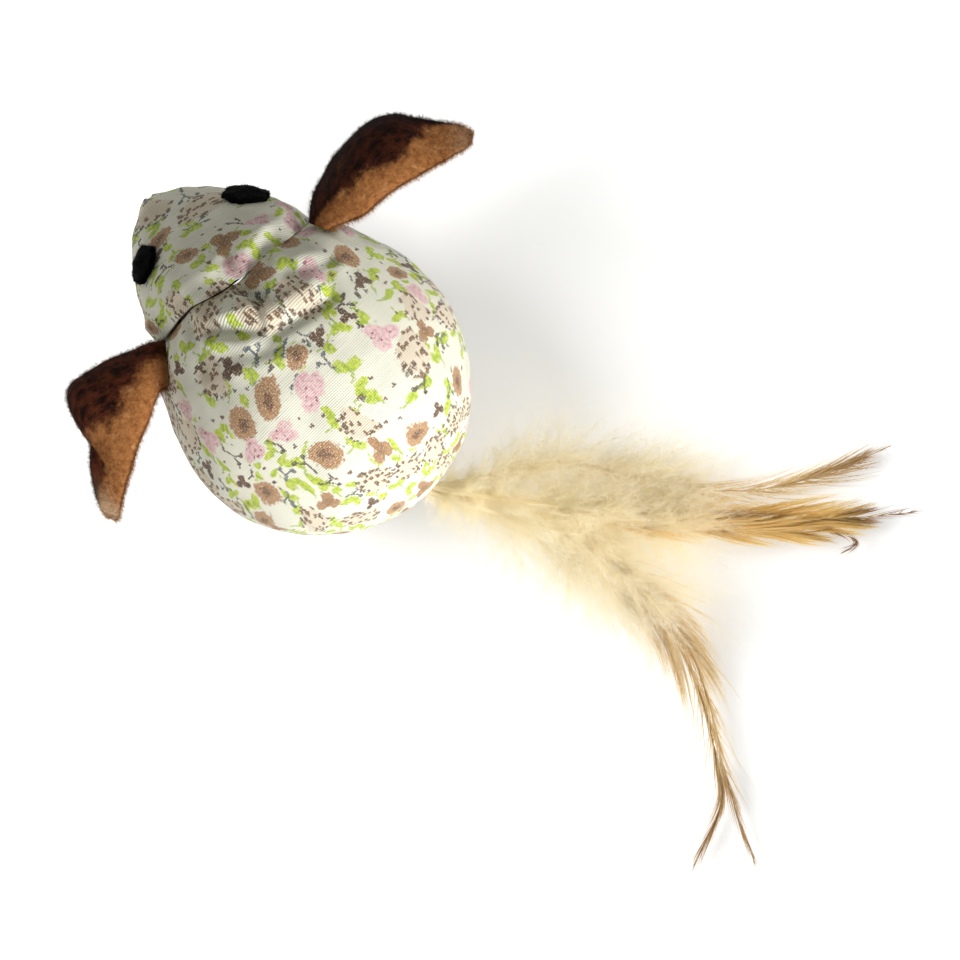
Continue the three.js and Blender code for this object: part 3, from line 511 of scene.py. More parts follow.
    # Pink blossoms of ragged lobes with small dark eyes, and dark sprigs of three round lobes
    pink = g.between(shade(240, 202, 204), shade(222, 160, 170), g.step(blotch, 0.42, 0.62))
    ink(g.step(reach / (0.58 + lobes * 0.5) + ragged * 1.6, 3.2, 2.7) * blossom, pink, 0.9)
    eyes = g.step(from_seed, 0.34, 0.2) * less(seed_pick, 0.5)
    ink(eyes * g.step(reach, 2.4, 1.9) * blossom, shade(150, 84, 96))
    ink(g.step(reach / (0.34 + lobes * 0.76), 2.1, 1.85) * sprig, shade(98, 62, 46))

    # Threads of the weave, with painted shade in the valleys between them
    rib = g.maths("SINE", flat_y * (TURN / RIB_PITCH))
    weft = g.maths("SINE", flat_x * (TURN / WEFT_PITCH))
    weave = rib * 0.7 + weft * 0.25 + g.noise(g.vector(flat_x * 0.3, flat_y * 2.4), 1.0, 2.0)
    # painted shade: the valleys between the threads are darkened towards a shaded grey-green
    color = g.between(color, shade(160, 162, 144), g.step(weave, 0.5, -0.5) * 0.55)
    rough = 0.86 + grain * 0.1
    return g.finish(color, rough, weave, THREAD_RELIEF, 0.6, Sheen_Weight=0.12, Specular_IOR_Level=0.2)


def felt(name, light, dark, sheen, front=None):
    """Napped felt. front is the colour of the painted shade on the front face of an ear, which has the maps run
    and tone too.
    """
    g = Graph(name)
    place = g.map("felt")
    fibres = g.noise(place, 0.8, 5.0, 0.7)
    fine = g.noise(place, 5.0, 3.0, 0.6)
    color = g.between(light, dark, g.step(fibres + fine * 0.3, 0.5, 0.86))
    if front is not None:
        run, tone = g.map("run"), g.map("tone")
        painted_shade_share, pale_tip, streaked = (g.part(tone, axis) for axis in range(3))
        stretched = g.vector(g.part(run, 0) * 0.26, g.part(run, 1) * 0.46, g.part(run, 2))
        streaks = g.noise(stretched, 1.0, 5.0, 0.75)
        color = g.between(color, shade(112, 60, 32), g.step(streaks, 0.52, 0.76) * 0.55)
        color = g.between(color, shade(214, 164, 116), g.step(streaks, 0.46, 0.3) * 0.5)
        # painted shade on the front face of the ears, broken by brown streaks and ragged at its edge
        shadow = g.between(front, shade(116, 58, 32), g.step(streaks, 0.62, 0.36) * streaked)
        frayed = (fibres - 0.5) * 0.9 * g.step(painted_shade_share, 0.02, 0.3) * g.step(painted_shade_share, 0.98, 0.7)
        color = g.between(color, shadow, g.step(painted_shade_share + frayed, 0.2, 0.8))
        color = g.between(color, shade(206, 176, 142), pale_tip)
    soft = {"Sheen_Weight": sheen, "Sheen_Roughness": 0.5, "Specular_IOR_Level": 0.05}
    return g.finish(color, 0.95, fibres + fine, FELT_RELIEF, 0.6, **soft)


def plain_fibre(name, light, dark, scale):
    g = Graph(name)
    grain = g.noise(g.value("TexCoord", output="Object"), scale, 4.0, 0.7)
    color = g.between(light, dark, g.step(grain, 0.35, 0.7))
    return g.finish(color, 0.95, grain, FIBRE_RELIEF, 0.5, Specular_IOR_Level=0.1)


def thread_finish(name):
    g = Graph(name)
    twist = g.map("twist")
    plies = g.maths("SINE", g.part(twist, 0) * 3 + g.part(twist, 1) * 6)
    color = g.between(shade(206, 196, 174), shade(238, 232, 216), g.step(plies, -0.8, 0.6))
    return g.finish(color, 0.7, plies, THREAD_RELIEF, 0.6, Sheen_Weight=0.2)


def feather_finish(name, down, vane, tip, tip_start):
    """Colour by a map: along it the way from the root of a feather to its tip, across it a random shade."""
    g = Graph(name)
    table = g.value("UVMap", uv_map="OFBake")
    share, pick = g.part(table, 0), g.part(table, 1)
    color = g.between(down, vane, g.step(share, 0.31, 0.44))
    color = g.between(color, tip, g.step(share, tip_start, 1.0))
    color = g.between(color, shade(255, 250, 232), g.step(pick, 0.5, 1.0) * 0.4)
    color = g.between(color, shade(190, 142, 84), g.step(pick, 0.3, 0.0) * 0.35)
    g.finish(color, 0.8, Specular_IOR_Level=0.15)
    # barbs are so fine that much of the light goes through them
    through = g.value("BsdfTranslucent", color)
    both = g.node("MixShader", 0.65, Value(g, g.shader.outputs[0]), through)
    g.tree.links.new(both.outputs[0], g.tree.nodes["Material Output"].inputs["Surface"])
    return g.material


LOOKS = {
    "printed_cotton": printed_cotton(),
    # the last colour of brown_felt is painted shade for the front faces of the ears
    "brown_felt": felt("brown_felt", shade(170, 114, 66), shade(130, 80, 42), 0.08, shade(28, 8, 7)),
    "black_felt": felt("black_felt", shade(6, 5, 6), shade(2, 2, 2), 0.0),
    "fibre_fill": plain_fibre("fibre_fill", shade(246, 244, 238), shade(222, 219, 210), 900),
    "dried_herb": plain_fibre("dried_herb", shade(126, 132, 72), shade(74, 70, 38), 700),
    "sewing_thread": thread_finish("sewing_thread"),
    "pale_feather": feather_finish(
        "pale_feather", shade(255, 249, 231), shade(226, 204, 158), shade(180, 146, 98), 0.74
    ),
    "golden_feather": feather_finish(
        "golden_feather", shade(255, 248, 226), shade(240, 216, 150), shade(132, 84, 50), 0.8
    ),
}

# Camera over the ball, and the picture's own directions

PICTURE_RIGHT = unit(vec(-1, 1, 0))
PICTURE_UP = unit(vec(-1, -1, 0))
PICTURE_MIDDLE = 480
CAMERA_PLACE = vec(-9.19, 36.06, 508)

camera_data = bpy.data.cameras.new("camera")
camera_data.lens = 90
camera_data.sensor_width = 36
camera_data.clip_start = 0.01
camera = linked("camera", camera_data)
stand = np.eye(4)
stand[:3] = np.stack([PICTURE_RIGHT, PICTURE_UP, UP, CAMERA_PLACE * MM], -1)
camera.matrix_world = Matrix(stand.tolist())
bpy.context.scene.camera = camera


def pixel(places):
    """Where places show in the picture."""
    away = places - CAMERA_PLACE
    scale = (CAMERA_PLACE[2] - MIDDLE[2]) / (CAMERA_PLACE[2] - places[..., 2]) / PIXEL
    across, down = dot(away, PICTURE_RIGHT) * scale, dot(away, PICTURE_UP) * scale
    return np.stack([PICTURE_MIDDLE + across, PICTURE_MIDDLE - down], -1)


# Cover

CLOTH_THICKNESS = 0.45
SEAM_ROLL = 1.2  # how far beside a side seam the cloth is drawn to its edge
SHEET_RADIUS = 30.4  # of the ball as its cloth is laid flat
BELLY_SHEET = 170  # how far off the belly's print starts from that of the back
NOSE_IN_SHEET = {True: (90, 6), False: (90, 76)}
MEAN_RADIUS, MEAN_HEAD = 30, 26  # that angles and shares are turned into millimetres with
HEM = ((0.8, 0.6), (2.2, 1.2))  # of a folded edge: depth inwards, and shift in the flat sheet
NECK_HEM = (0.9, 2.3)
# ridges and, below 0, folds along lines of the picture: height, start, end, width
BALL_FOLDS = [
    (1.1, (262, 322), (312, 286), 10), (0.9, (222, 318), (262, 308), 6), (0.8, (206, 346), (250, 344), 8),
    (0.7, (300, 262), (340, 268), 9), (-2.2, (240, 287), (258, 300), 6), (-1.2, (258, 300), (262, 326), 6),
    (-1.2, (210, 332), (256, 330), 7), (-1.1, (272, 334), (330, 296), 8), (-0.9, (286, 272), (330, 262), 7),
    (-0.7, (196, 330), (206, 372), 8), (-0.5, (262, 352), (322, 340), 9), (0.5, (236, 372), (300, 352), 10),
]
HEAD_FOLDS = [
    (1.1, (214, 268), (236, 276), 8), (0.7, (238, 266), (262, 236), 9), (0.5, (196, 262), (214, 282), 8),
    (-0.9, (226, 262), (238, 274), 5), (-0.5, (250, 262), (272, 238), 6), (-0.4, (178, 270), (200, 246), 9),
    (-0.4, (236, 226), (270, 214), 9),
]
# cheeks and nose, fuller than the plain cone
HEAD_FULLNESS = [
    (0.7, (138, 236), (143, 212), 14), (0.6, (152, 202), (178, 190), 12), (1.4, (152, 328), (162, 346), 10),
    (0.5, (276, 204), (300, 214), 10), (-0.3, (136, 280), (140, 306), 10),
]


def folds(at, rows):
    """How far the cloth stands out by the folds, at places of the picture."""
    total = 0
    for height, start, end, width in rows:
        start, run = vec(*start), vec(*end) - vec(*start)
        share = np.clip(((at - start) @ run) / (run @ run), 0, 1)
        total = total + height * bump(norm(at - (start + share[..., None] * run)), width)
    return total


def spaced(count, bias=0.45):
    """Shares from 0 to 1 that lie closer at both ends."""
    t = np.linspace(0, 1, count)
    return mix(t, (1 - np.cos(np.pi * t)) / 2, bias)


def towards(places, centre, axis):
    """Directions from places straight to an axis through a centre."""
    return unit(centre - places + axis * dot(places - centre, axis)[..., None])


def beside(grid, more, before):
    """A grid with one more column, before the first or after the last."""
    parts = [grid, more[:, None]]
    return np.concatenate(parts[::-1] if before else parts, 1)


def ball_relief(places, behind_neck, from_seam, around, polar, upper):
    """How far the ball's cloth stands out, in millimetres."""
    at = pixel(pulled(places))
    rise = 0.3 * waves(places, 17, 1) + 0.1 * waves(places, 7, 2)
    # the cloth rolls in at its side seams and puckers beside them
    along_seam = polar * MEAN_RADIUS
    pucker = np.sin(along_seam * 1.35 + 1.3 * np.sin(along_seam * 0.31)) * np.exp(-from_seam / 2.4)
    rise += 0.22 * pucker - 0.95 * bump(from_seam, 0.75)
    # gathers behind the neck
    gather = 0
    rng = np.random.default_rng(5 if upper else 6)
    for count in (11, 17, 23, 31):
        offset = rng.uniform(0, 6.28)
        gather = gather + np.sin(count * around + offset + 0.6 * np.sin(3 * around + count)) / 2
    rise += 0.5 * gather * np.exp(-behind_neck / 6.5) * smooth(behind_neck, 0, 2.4)
    seam_depth = mix(0.4, 1.1, smooth(-at[..., 0], -262, -236))
    rise += 0.5 * bump(behind_neck - 5.0, 2.6) - seam_depth * bump(behind_neck, 1.6)
    # gathers round the tail opening
    from_tail = (polar - OPENING_ANGLE) * MEAN_RADIUS
    rise += 0.35 * np.sin(13 * around + 0.7) * np.exp(-from_tail / 3.5) * smooth(from_tail, 0, 1.5)
    rise -= 0.9 * bump(from_tail, 1.1)
    return rise + folds(at, BALL_FOLDS) if upper else rise


def head_relief(places, forward, from_seam, around, upper):
    """How far the head's cloth stands out, in millimetres."""
    at = pixel(pulled(places))
    ahead = forward * MEAN_HEAD
    rise = 0.22 * waves(places, 13, 11) + 0.08 * waves(places, 5.5, 12)
    pucker = np.sin(ahead * 1.7 + np.sin(ahead * 0.6)) * np.exp(-from_seam / 2)
    rise += 0.16 * pucker * smooth(ahead, 0, 3)
    rise -= 0.8 * bump(from_seam, 0.7) * smooth(1 - forward, 0.02, 0.12)
    # the edge stands up in a lip along the neck seam
    rng = np.random.default_rng(7 if upper else 8)
    ripple = sum(np.sin(count * around + rng.uniform(0, 6.28)) for count in (9, 15, 22)) / 3
    rise += 0.5 * (0.75 + 0.3 * ripple) * bump(ahead - 0.7, 1.1)
    brow = 1.3 * smooth(np.sin(np.abs(around)), 0.35, 0.95) if upper else 0.2
    rise += brow * smooth(ahead, 0, 5.5) * np.exp(-np.maximum(ahead - 5.5, 0) ** 2 / 40)
    rise += 0.22 * ripple * np.exp(-ahead / 5) * smooth(ahead, 1, 3)
    rise = rise + folds(at, HEAD_FULLNESS)
    return rise + folds(at, HEAD_FOLDS) if upper else rise


def panel(name, node, grid, flat, centre):
    """A panel of cloth from a grid of its places, those places in the flat sheet, and a centre inside."""
    obj = piece(name, node, "printed_cotton", grid, outward_faces(grid, centre), maps={"cloth": flat})
    solid = obj.modifiers.new("cloth", "SOLIDIFY")
    solid.thickness = CLOTH_THICKNESS * MM
    solid.offset = -1


def ball_panel(name, node, upper, rows, columns):
    sign = 1 if upper else -1
    away = SEAM_NORMAL * sign
    around = sign * np.pi * spaced(columns)
    share = spaced(rows, 0.6)[:, None]
    polar = mix(OPENING_ANGLE, neck_angle(around, SEAM_GAP / 2)[None, :], share)
    around = np.broadcast_to(around, polar.shape)
    places = ball_point(polar, around)
    normal = facing(normals_of(places) * -sign, places - MIDDLE)
    behind_neck = np.maximum(-dot(places - NECK_PLACE, NECK_NORMAL), 0)
    from_seam = np.abs(dot(places - HUB, SEAM_NORMAL)) / np.maximum(norm(places - MIDDLE), 1) * MEAN_RADIUS
    rise = ball_relief(places, behind_neck, from_seam, around, polar, upper)
    rise = rise * smooth(places[..., 2], 0.2, 4)
    moved = above_floor(pulled(places + normal * rise[..., None]), FLOOR_GAP)
    moved = moved + bump(from_seam, SEAM_ROLL)[..., None] * away * (SEAM_GAP / 2)
    # the sheet is laid out from the top of the ball, or from its belly at a place of its own
    ray = unit(places - MIDDLE)
    angle = np.arccos(np.clip(sign * ray[..., 2], -1, 1))
    spot = unit(ray[..., :2] + 1e-9) * (SHEET_RADIUS * angle)[..., None] + (0 if upper else BELLY_SHEET)
    cloth = np.concatenate([spot, 0 * spot[..., :1]], -1)
    # the raw edges fold in along the side seams and at both ends
    for column, before in ((0, True), (-1, False)):
        edge, flat = moved[:, column], cloth[:, column]
        inward = towards(edge, HUB, TAIL_AXIS)
        level = inward - away * dot(inward, away)[..., None]
        for depth, shift in HEM:
            moved = beside(moved, edge + level * depth, before)
            cloth = beside(cloth, flat + vec(shift, 0, 0), before)
    into = towards(moved[-1], NECK_CENTRE, NECK_NORMAL)
    ends = np.stack([moved[-1] + into * depth for depth in NECK_HEM])
    into = towards(moved[0], HUB, TAIL_AXIS)
    starts = np.stack([moved[0] + into * 0.5 - TAIL_AXIS * depth for depth in (2.4, 1.0)])
    moved = np.concatenate([starts, moved, ends])
    cloth = np.concatenate([cloth[:1], cloth[:1], cloth, cloth[-1:], cloth[-1:]])
    panel(name, node, moved, cloth, MIDDLE)


def head_panel(name, node, upper, rows, columns):
    sign = 1 if upper else -1
    t = np.linspace(0, 1, rows)[:, None]
    forward = np.maximum(np.sin(t * np.pi / 2) ** 0.98 * (1 - 0.0004), 0.006)
    forward, around = np.broadcast_arrays(forward, sign * np.pi * spaced(columns)[None, :])
    places = snout_point(forward, around)
    centre = snout_middle(forward)
    normal = facing(normals_of(places), places - centre + SNOUT_AXIS * 0.02)
    from_seam = np.abs(places[..., 2] - centre[..., 2])
    rise = head_relief(places, forward, from_seam, around, upper) * smooth(1 - forward, 0, 0.012)
    hang = 0.9 * bump(forward * MEAN_HEAD - 0.4, 1.1) * (1 if upper else 0.4)
    moved = pulled(places + normal * rise[..., None] - NECK_NORMAL * hang[..., None])
    drawn = bump(from_seam, SEAM_ROLL) * smooth(1 - forward, 0, 0.02)
    moved = moved + UP * sign * (SEAM_GAP / 2) * drawn[..., None]
    # the cone of the head rolled out flat round its nose
    length = lengths(places)
    turn = (np.abs(around) - np.pi / 2) * 0.62
    from_nose = length[-1] - length
    nose_x, nose_y = NOSE_IN_SHEET[upper]
    cloth = np.stack([nose_x - from_nose * np.sin(turn), nose_y + from_nose * np.cos(turn), 0 * turn], -1)
    for column, before in ((0, True), (-1, False)):
        edge, flat = moved[:, column], cloth[:, column]
        level = unit((centre[:, column] - edge) * vec(1, 1, 0))
        deep = np.minimum(2.2, 0.3 * norm(places - centre)[:, column])[..., None]
        for share in (0.4, 1):
            moved = beside(moved, edge + level * deep * share, before)
            cloth = beside(cloth, flat, before)
    into = towards(moved[0], NECK_CENTRE, NECK_NORMAL)
    starts = np.stack([moved[0] + into * depth for depth in NECK_HEM[::-1]])
    cloth = np.concatenate([cloth[:1], cloth[:1], cloth])
    panel(name, node, np.concatenate([starts, moved]), cloth, NECK_CENTRE)


ball_panel("cover_back", "back_panel", True, 170, 200)
ball_panel("cover_belly", "belly_panel", False, 130, 140)
head_panel("cover_head", "head_panel", True, 100, 130)
head_panel("cover_chin", "chin_panel", False, 70, 90)

# Stuffing and catnip, inside the cover

PIVOT = ball_point(0.0, 0.0, 1.0)
TAIL_POCKET = 7.0
BALL_PADDING, HEAD_PADDING = 1.9, 2.2  # how deep under the skin the stuffing starts


def clear_of_tail(places, room):
    """Pushes places that are nearer than the room to the tail's root towards the middle of the ball."""
    inwards = unit(MIDDLE - PIVOT)
    ray = places - PIVOT
    depth = dot(ray, inwards)
    beside_root = norm(ray - depth[:, None] * inwards)
    least = np.sqrt(np.maximum(room**2 - beside_root**2, 0))
    return places + inwards * np.where(beside_root < room, np.maximum(least - depth, 0), 0)[:, None]


def wad(name, node, slot, at, grid, lumps):
    """A lumpy closed body round a place, from a grid of places that closes round it."""
    bulge = lumps * waves(grid, 6, 21) + 0.3 * lumps * waves(grid, 2.2, 22)
    moved = pulled(grid) + unit(grid - at) * bulge[..., None]
    rows, columns = moved.shape[:2]
    places = np.concatenate([moved.reshape(-1, 3), [moved[0].mean(0), moved[-1].mean(0)]])
    places = clear_of_tail(places, TAIL_POCKET)
    obj = piece(name, node, slot, places, grid_faces(rows, columns, around=True))
    mesh = bmesh.new()
    mesh.from_mesh(obj.data)
    mesh.verts.ensure_lookup_table()
    for corners in cap_faces(rows, columns):
        mesh.faces.new([mesh.verts[corner] for corner in corners]).smooth = True
    bmesh.ops.recalc_face_normals(mesh, faces=mesh.faces)
    mesh.to_mesh(obj.data)
    mesh.free()


ring = turns(72)[None, :]
polar = mix(0.24, neck_angle(ring, 2.4), np.linspace(0.02, 1, 60)[:, None])
wad("stuffing_ball", "body_filling", "fibre_fill", MIDDLE, ball_point(polar, ring, BALL_PADDING), 0.35)

forward = np.linspace(0.06, 0.78, 30)[:, None]
middle = snout_middle(forward)
snout = snout_point(forward, turns(48)[None, :])
snout = middle + (snout - middle) * (1 - HEAD_PADDING / norm(snout - middle)[..., None])
wad("stuffing_head", "head_filling", "fibre_fill", snout_middle(0.4), snout, 0.25)

low, high = (np.array(corner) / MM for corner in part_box("catnip"))
lat, lon = np.linspace(0.12, np.pi - 0.12, 26)[:, None], turns(40)[None, :]
egg = stacked(np.sin(lat) * np.cos(lon), np.cos(lat), np.sin(lat) * np.sin(lon))
herb_middle = (low + high) / 2
wad("catnip_wad", "catnip", "dried_herb", herb_middle, herb_middle + egg * ((high - low) / 2 * 0.9), 0.5)

# Threads

THREAD, STITCH_THREAD = 0.5, 0.42
THREAD_DEPTH = (0.6 + 3 * 0.3) / 2
STITCH_STEP, STITCH_SPREAD = 2.2, 1.6


def swept(points, radius, sides):
    """Places, faces and map of a round tube along points."""
    ahead = unit(np.gradient(points, axis=0))
    side = np.zeros_like(points)
    guess = np.cross(ahead[0], UP) if abs(ahead[0][2]) < 0.9 else np.cross(ahead[0], LEFT)
    for index, way in enumerate(ahead):
        guess = guess - way * (guess @ way)
        guess /= np.linalg.norm(guess)
        side[index] = guess
    lift = np.cross(ahead, side)
    angle = turns(sides)
    radius = np.broadcast_to(np.asarray(radius, float), (len(points),))
    ring = side[:, None] * np.cos(angle)[None, :, None] + lift[:, None] * np.sin(angle)[None, :, None]
    places = points[:, None] + ring * radius[:, None, None]
    table = stacked(angle[None, :], lengths(points)[:, None], 0.0)
    return places.reshape(-1, 3), grid_faces(len(points), sides, around=True), table.reshape(-1, 3)


def resampled(points, count):
    length = lengths(points)
    at = np.linspace(0, length[-1], count)
    return np.stack([np.interp(at, length, points[:, axis]) for axis in range(3)], -1)


def curve(points, per):
    """A smooth centripetal curve through points, with so many steps from one to the next."""
    points = np.asarray(points, float)
    points = np.concatenate([[2 * points[0] - points[1]], points, [2 * points[-1] - points[-2]]])
    out = []
    for p0, p1, p2, p3 in zip(points, points[1:], points[2:], points[3:]):
        steps = [max(np.linalg.norm(b - a), 1e-6) ** 0.5 for a, b in ((p0, p1), (p1, p2), (p2, p3))]
        t0, t1, t2, t3 = np.concatenate([[0.0], np.cumsum(steps)])
        t = np.linspace(t1, t2, per, endpoint=False)[:, None]

        def between(a, b, start, end):
            return (end - t) / (end - start) * a + (t - start) / (end - start) * b

        a1, a2, a3 = between(p0, p1, t0, t1), between(p1, p2, t1, t2), between(p2, p3, t2, t3)
        out.append(between(between(a1, a2, t0, t2), between(a2, a3, t1, t3), t1, t2))
    out.append(points[-2:-1])
    return np.concatenate(out)


def thread(name, node, points, diameter=THREAD, body="root"):
    """Two plies twisted round each other along points, in the place of one CAD thread."""
    length = lengths(points)[-1]
    points = resampled(points, int(length / 0.16) + 8)
    ahead = unit(np.gradient(points, axis=0))
    side = unit(np.cross(ahead, vec(0.31, 0.21, 0.93)))
    lift = np.cross(ahead, side)
    run = np.linspace(0, length, len(points))
    plies = []
    for ply in range(2):
        angle = (run / (diameter * 2.2) * TURN + ply * np.pi)[:, None]
        path = points + (side * np.cos(angle) + lift * np.sin(angle)) * diameter * 0.23
        plies.append(swept(path, diameter * 0.27, 6))
    places, faces, twist = zip(*plies)
    faces = np.concatenate([faces[0], faces[1] + len(places[0])])
    maps = {"twist": np.concatenate(twist)}
    piece(name, node, "sewing_thread", np.concatenate(places), faces, body, maps)


for side, angle in (("left", 0.0), ("right", np.pi)):
    polar = np.linspace(3 * OPENING_ANGLE, float(neck_angle(np.array(angle), ALLOWANCE)), 60)
    fold = mix(CLOTH + SEAM_GAP, ALLOWANCE, smooth(polar, OPENING_ANGLE, 2.5 * OPENING_ANGLE))
    line = pulled(ball_point(polar, angle, fold + THREAD_DEPTH))
    thread(f"side_stitching_{side}", f"{side}_seam_thread", line)


def snout_line(forward, around):
    start, middle = snout_point(forward, around), snout_middle(forward)
    depth = np.minimum(ALLOWANCE, np.maximum(CLOTH + SEAM_GAP, 0.3 * norm(start - middle))) + THREAD_DEPTH
    return start + unit(middle - start) * depth[..., None]


forward = np.linspace(0.14, 0.86, 24)
tip = NOSE - unit(SNOUT_AXIS) * (2 * (CLOTH + SEAM_GAP) + THREAD_DEPTH)
nose_line = np.concatenate([snout_line(forward, 0.0), [tip], snout_line(forward, np.pi)[::-1]])
thread("nose_stitching", "nose_seam_thread", pulled(curve(nose_line, 4)))

share = np.linspace(0, 1, 120)
rim = neck_point((share * 1.1 + 0.1) * TURN)
neck_line = rim + unit(NECK_CENTRE - rim) * (ALLOWANCE + THREAD_DEPTH)
thread("neck_stitching", "neck_seam_thread", pulled(neck_line + NECK_NORMAL * (1.1 * (share - 0.5))[:, None]))

zigzag = []
for step in range(10):
    polar = (TAIL_OPENING / 2 + STITCH_STEP + step * STITCH_STEP / 2) / norm(ball_point(0.0, 0.0) - HUB)
    zigzag.append(ball_point(polar, 0.0, -0.45) + SEAM_NORMAL * (1 if step % 2 else -1) * STITCH_SPREAD / 2)
thread("closing_zigzag", "closing_stitches", curve(zigzag, 5), STITCH_THREAD)

# Tail root

TAIL_HEADING, TAIL_DIP, TAIL_LIFT = math.radians(24), math.radians(14), math.radians(40)
QUILL = 1.1
QUILL_CIRCLE = 1.41 / 2 / math.sin(math.pi / 5)
WHIP_RADIUS = QUILL_CIRCLE + QUILL / 2 + 0.3 + THREAD / 2
WHIP_TURNS, WHIP_PITCH = 4, 1.05
LOOP_GAP = math.radians(20)
tail_ahead = unit(vec(-math.sin(TAIL_HEADING), math.cos(TAIL_HEADING), -math.tan(TAIL_DIP)))
tail_side = unit(np.cross(tail_ahead, UP))
tail_lift = np.cross(tail_side, tail_ahead)


def tail_place(ahead, side, lift):
    ahead, side, lift = np.broadcast_arrays(*(np.asarray(x, float) for x in (ahead, side, lift)))
    return PIVOT + tail_ahead * ahead[..., None] + tail_side * side[..., None] + tail_lift * lift[..., None]


steps = np.linspace(0, WHIP_TURNS, 160)
angle = steps * TURN
whipping = tail_place(WHIP_PITCH * (steps - 2), WHIP_RADIUS * np.cos(angle), WHIP_RADIUS * np.sin(angle))
thread("quill_whipping", "tail_whipping", whipping, body="tail")
outside = WHIP_RADIUS + THREAD / 2
half_width = outside + 0.3 + THREAD / 2
half_height = outside / math.cos(TAIL_LIFT) + THREAD / 2 * (math.tan(TAIL_LIFT) + 1) + 0.15
angle = np.linspace(LOOP_GAP, TURN - LOOP_GAP, 60) - np.pi / 2
loop = tail_place(0, half_width * np.cos(angle), half_height * np.sin(angle))
thread("tie_loop", "tail_tie_loop", loop, body="tail_tie")

# Strands: ribbons that taper to a point


def ribbons(name, node, slot, paths, widths, body="root", table=None, seed=0, maps=None, side=None):
    """paths is strands by points by 3, and table a pair of shares for each strand and point."""
    count, points = paths.shape[:2]
    rng = np.random.default_rng(seed)
    ahead = unit(np.gradient(paths, axis=1))
    if side is None:
        side = rng.normal(size=(count, 1, 3))
    taper = np.linspace(1, 0.12, points)[None, :, None]
    half = unit(np.cross(ahead, side)) * (widths[:, None, None] / 2) * taper
    places = above_floor(np.stack([paths - half, paths + half], 2), 0.06)
    index = np.arange(count * points * 2).reshape(count, points, 2)
    here, after = index[:, :-1], index[:, 1:]
    faces = np.stack([here[..., 0], here[..., 1], after[..., 1], after[..., 0]], -1).reshape(-1, 4)

    def on_both(values):
        return np.repeat(values[:, :, None], 2, 2).reshape(-1, values.shape[-1])

    maps = {key: on_both(values) for key, values in (maps or {}).items()}
    return piece(name, node, slot, places, faces, body, maps, None if table is None else on_both(table))


# Felt ears

FELT = 1.4
EAR_COLUMNS, EAR_STRANDS = 33, 17000
EAR_TIP = 2.2  # how long the rounded end of the cut is
NAP_WIDTHS = (0.04, 0.08)
# rows from root to tip, in shares of the reach: front edge x, y, z, rear edge x, y, z, arch, and how far
# across the ear the painted shade on the front face reaches
LEFT_EAR = [
    (-0.123, -0.148, -0.001, 0.098, 0.121, -0.001, 0.028, 0.3),
    (-0.017, -0.197, -0.008, 0.144, 0.076, 0.026, 0.063, 0.38),
    (0.086, -0.254, -0.036, 0.21, 0.098, 0.047, 0.098, 0.44),
    (0.198, -0.309, -0.05, 0.29, 0.133, 0.061, 0.119, 0.5),
    (0.319, -0.354, -0.057, 0.38, 0.178, 0.075, 0.133, 0.56),
    (0.439, -0.386, -0.05, 0.471, 0.222, 0.082, 0.133, 0.62),
    (0.553, -0.403, -0.036, 0.561, 0.266, 0.089, 0.119, 0.6),
    (0.628, -0.342, -0.008, 0.642, 0.309, 0.089, 0.091, 0.45),
    (0.671, -0.181, 0.04, 0.719, 0.347, 0.089, 0.049, 0.16),
    (0.706, -0.024, 0.068, 0.786, 0.384, 0.082, 0.028, 0.4),
    (0.831, 0.091, 0.068, 0.855, 0.421, 0.068, 0.021, 0.44),
    (0.928, 0.253, 0.061, 0.909, 0.453, 0.054, 0.01, 0.26),
    (1.001, 0.41, 0.047, 0.968, 0.491, 0.04, 0.003, -0.3),
]
RIGHT_EAR = [
    (-0.02, -0.093, -0.064, -0.03, -0.001, -0.003, 0.018, 0.4),
    (0.108, -0.172, -0.079, 0.086, 0.072, 0.043, 0.061, 0.5),
    (0.248, -0.227, -0.079, 0.161, 0.109, 0.074, 0.098, 0.54),
    (0.379, -0.256, -0.073, 0.236, 0.137, 0.099, 0.117, 0.57),
    (0.502, -0.267, -0.064, 0.335, 0.148, 0.117, 0.123, 0.6),
    (0.615, -0.261, -0.049, 0.431, 0.161, 0.129, 0.123, 0.66),
    (0.723, -0.224, -0.024, 0.527, 0.175, 0.142, 0.11, 0.72),
    (0.805, -0.168, 0.013, 0.618, 0.201, 0.151, 0.086, 0.62),
    (0.85, -0.067, 0.074, 0.709, 0.227, 0.16, 0.049, 0.38),
    (0.921, 0.048, 0.123, 0.801, 0.253, 0.166, 0.025, 0.16),
    (0.998, 0.156, 0.154, 0.888, 0.275, 0.172, 0.009, 0.0),
    (1.043, 0.245, 0.166, 0.963, 0.3, 0.172, 0.003, -0.3),
]


def ear_root(behind, around):
    angle = np.array(math.radians(around))
    return ball_point(neck_angle(angle, behind), angle, -FELT / 2 - 0.15)


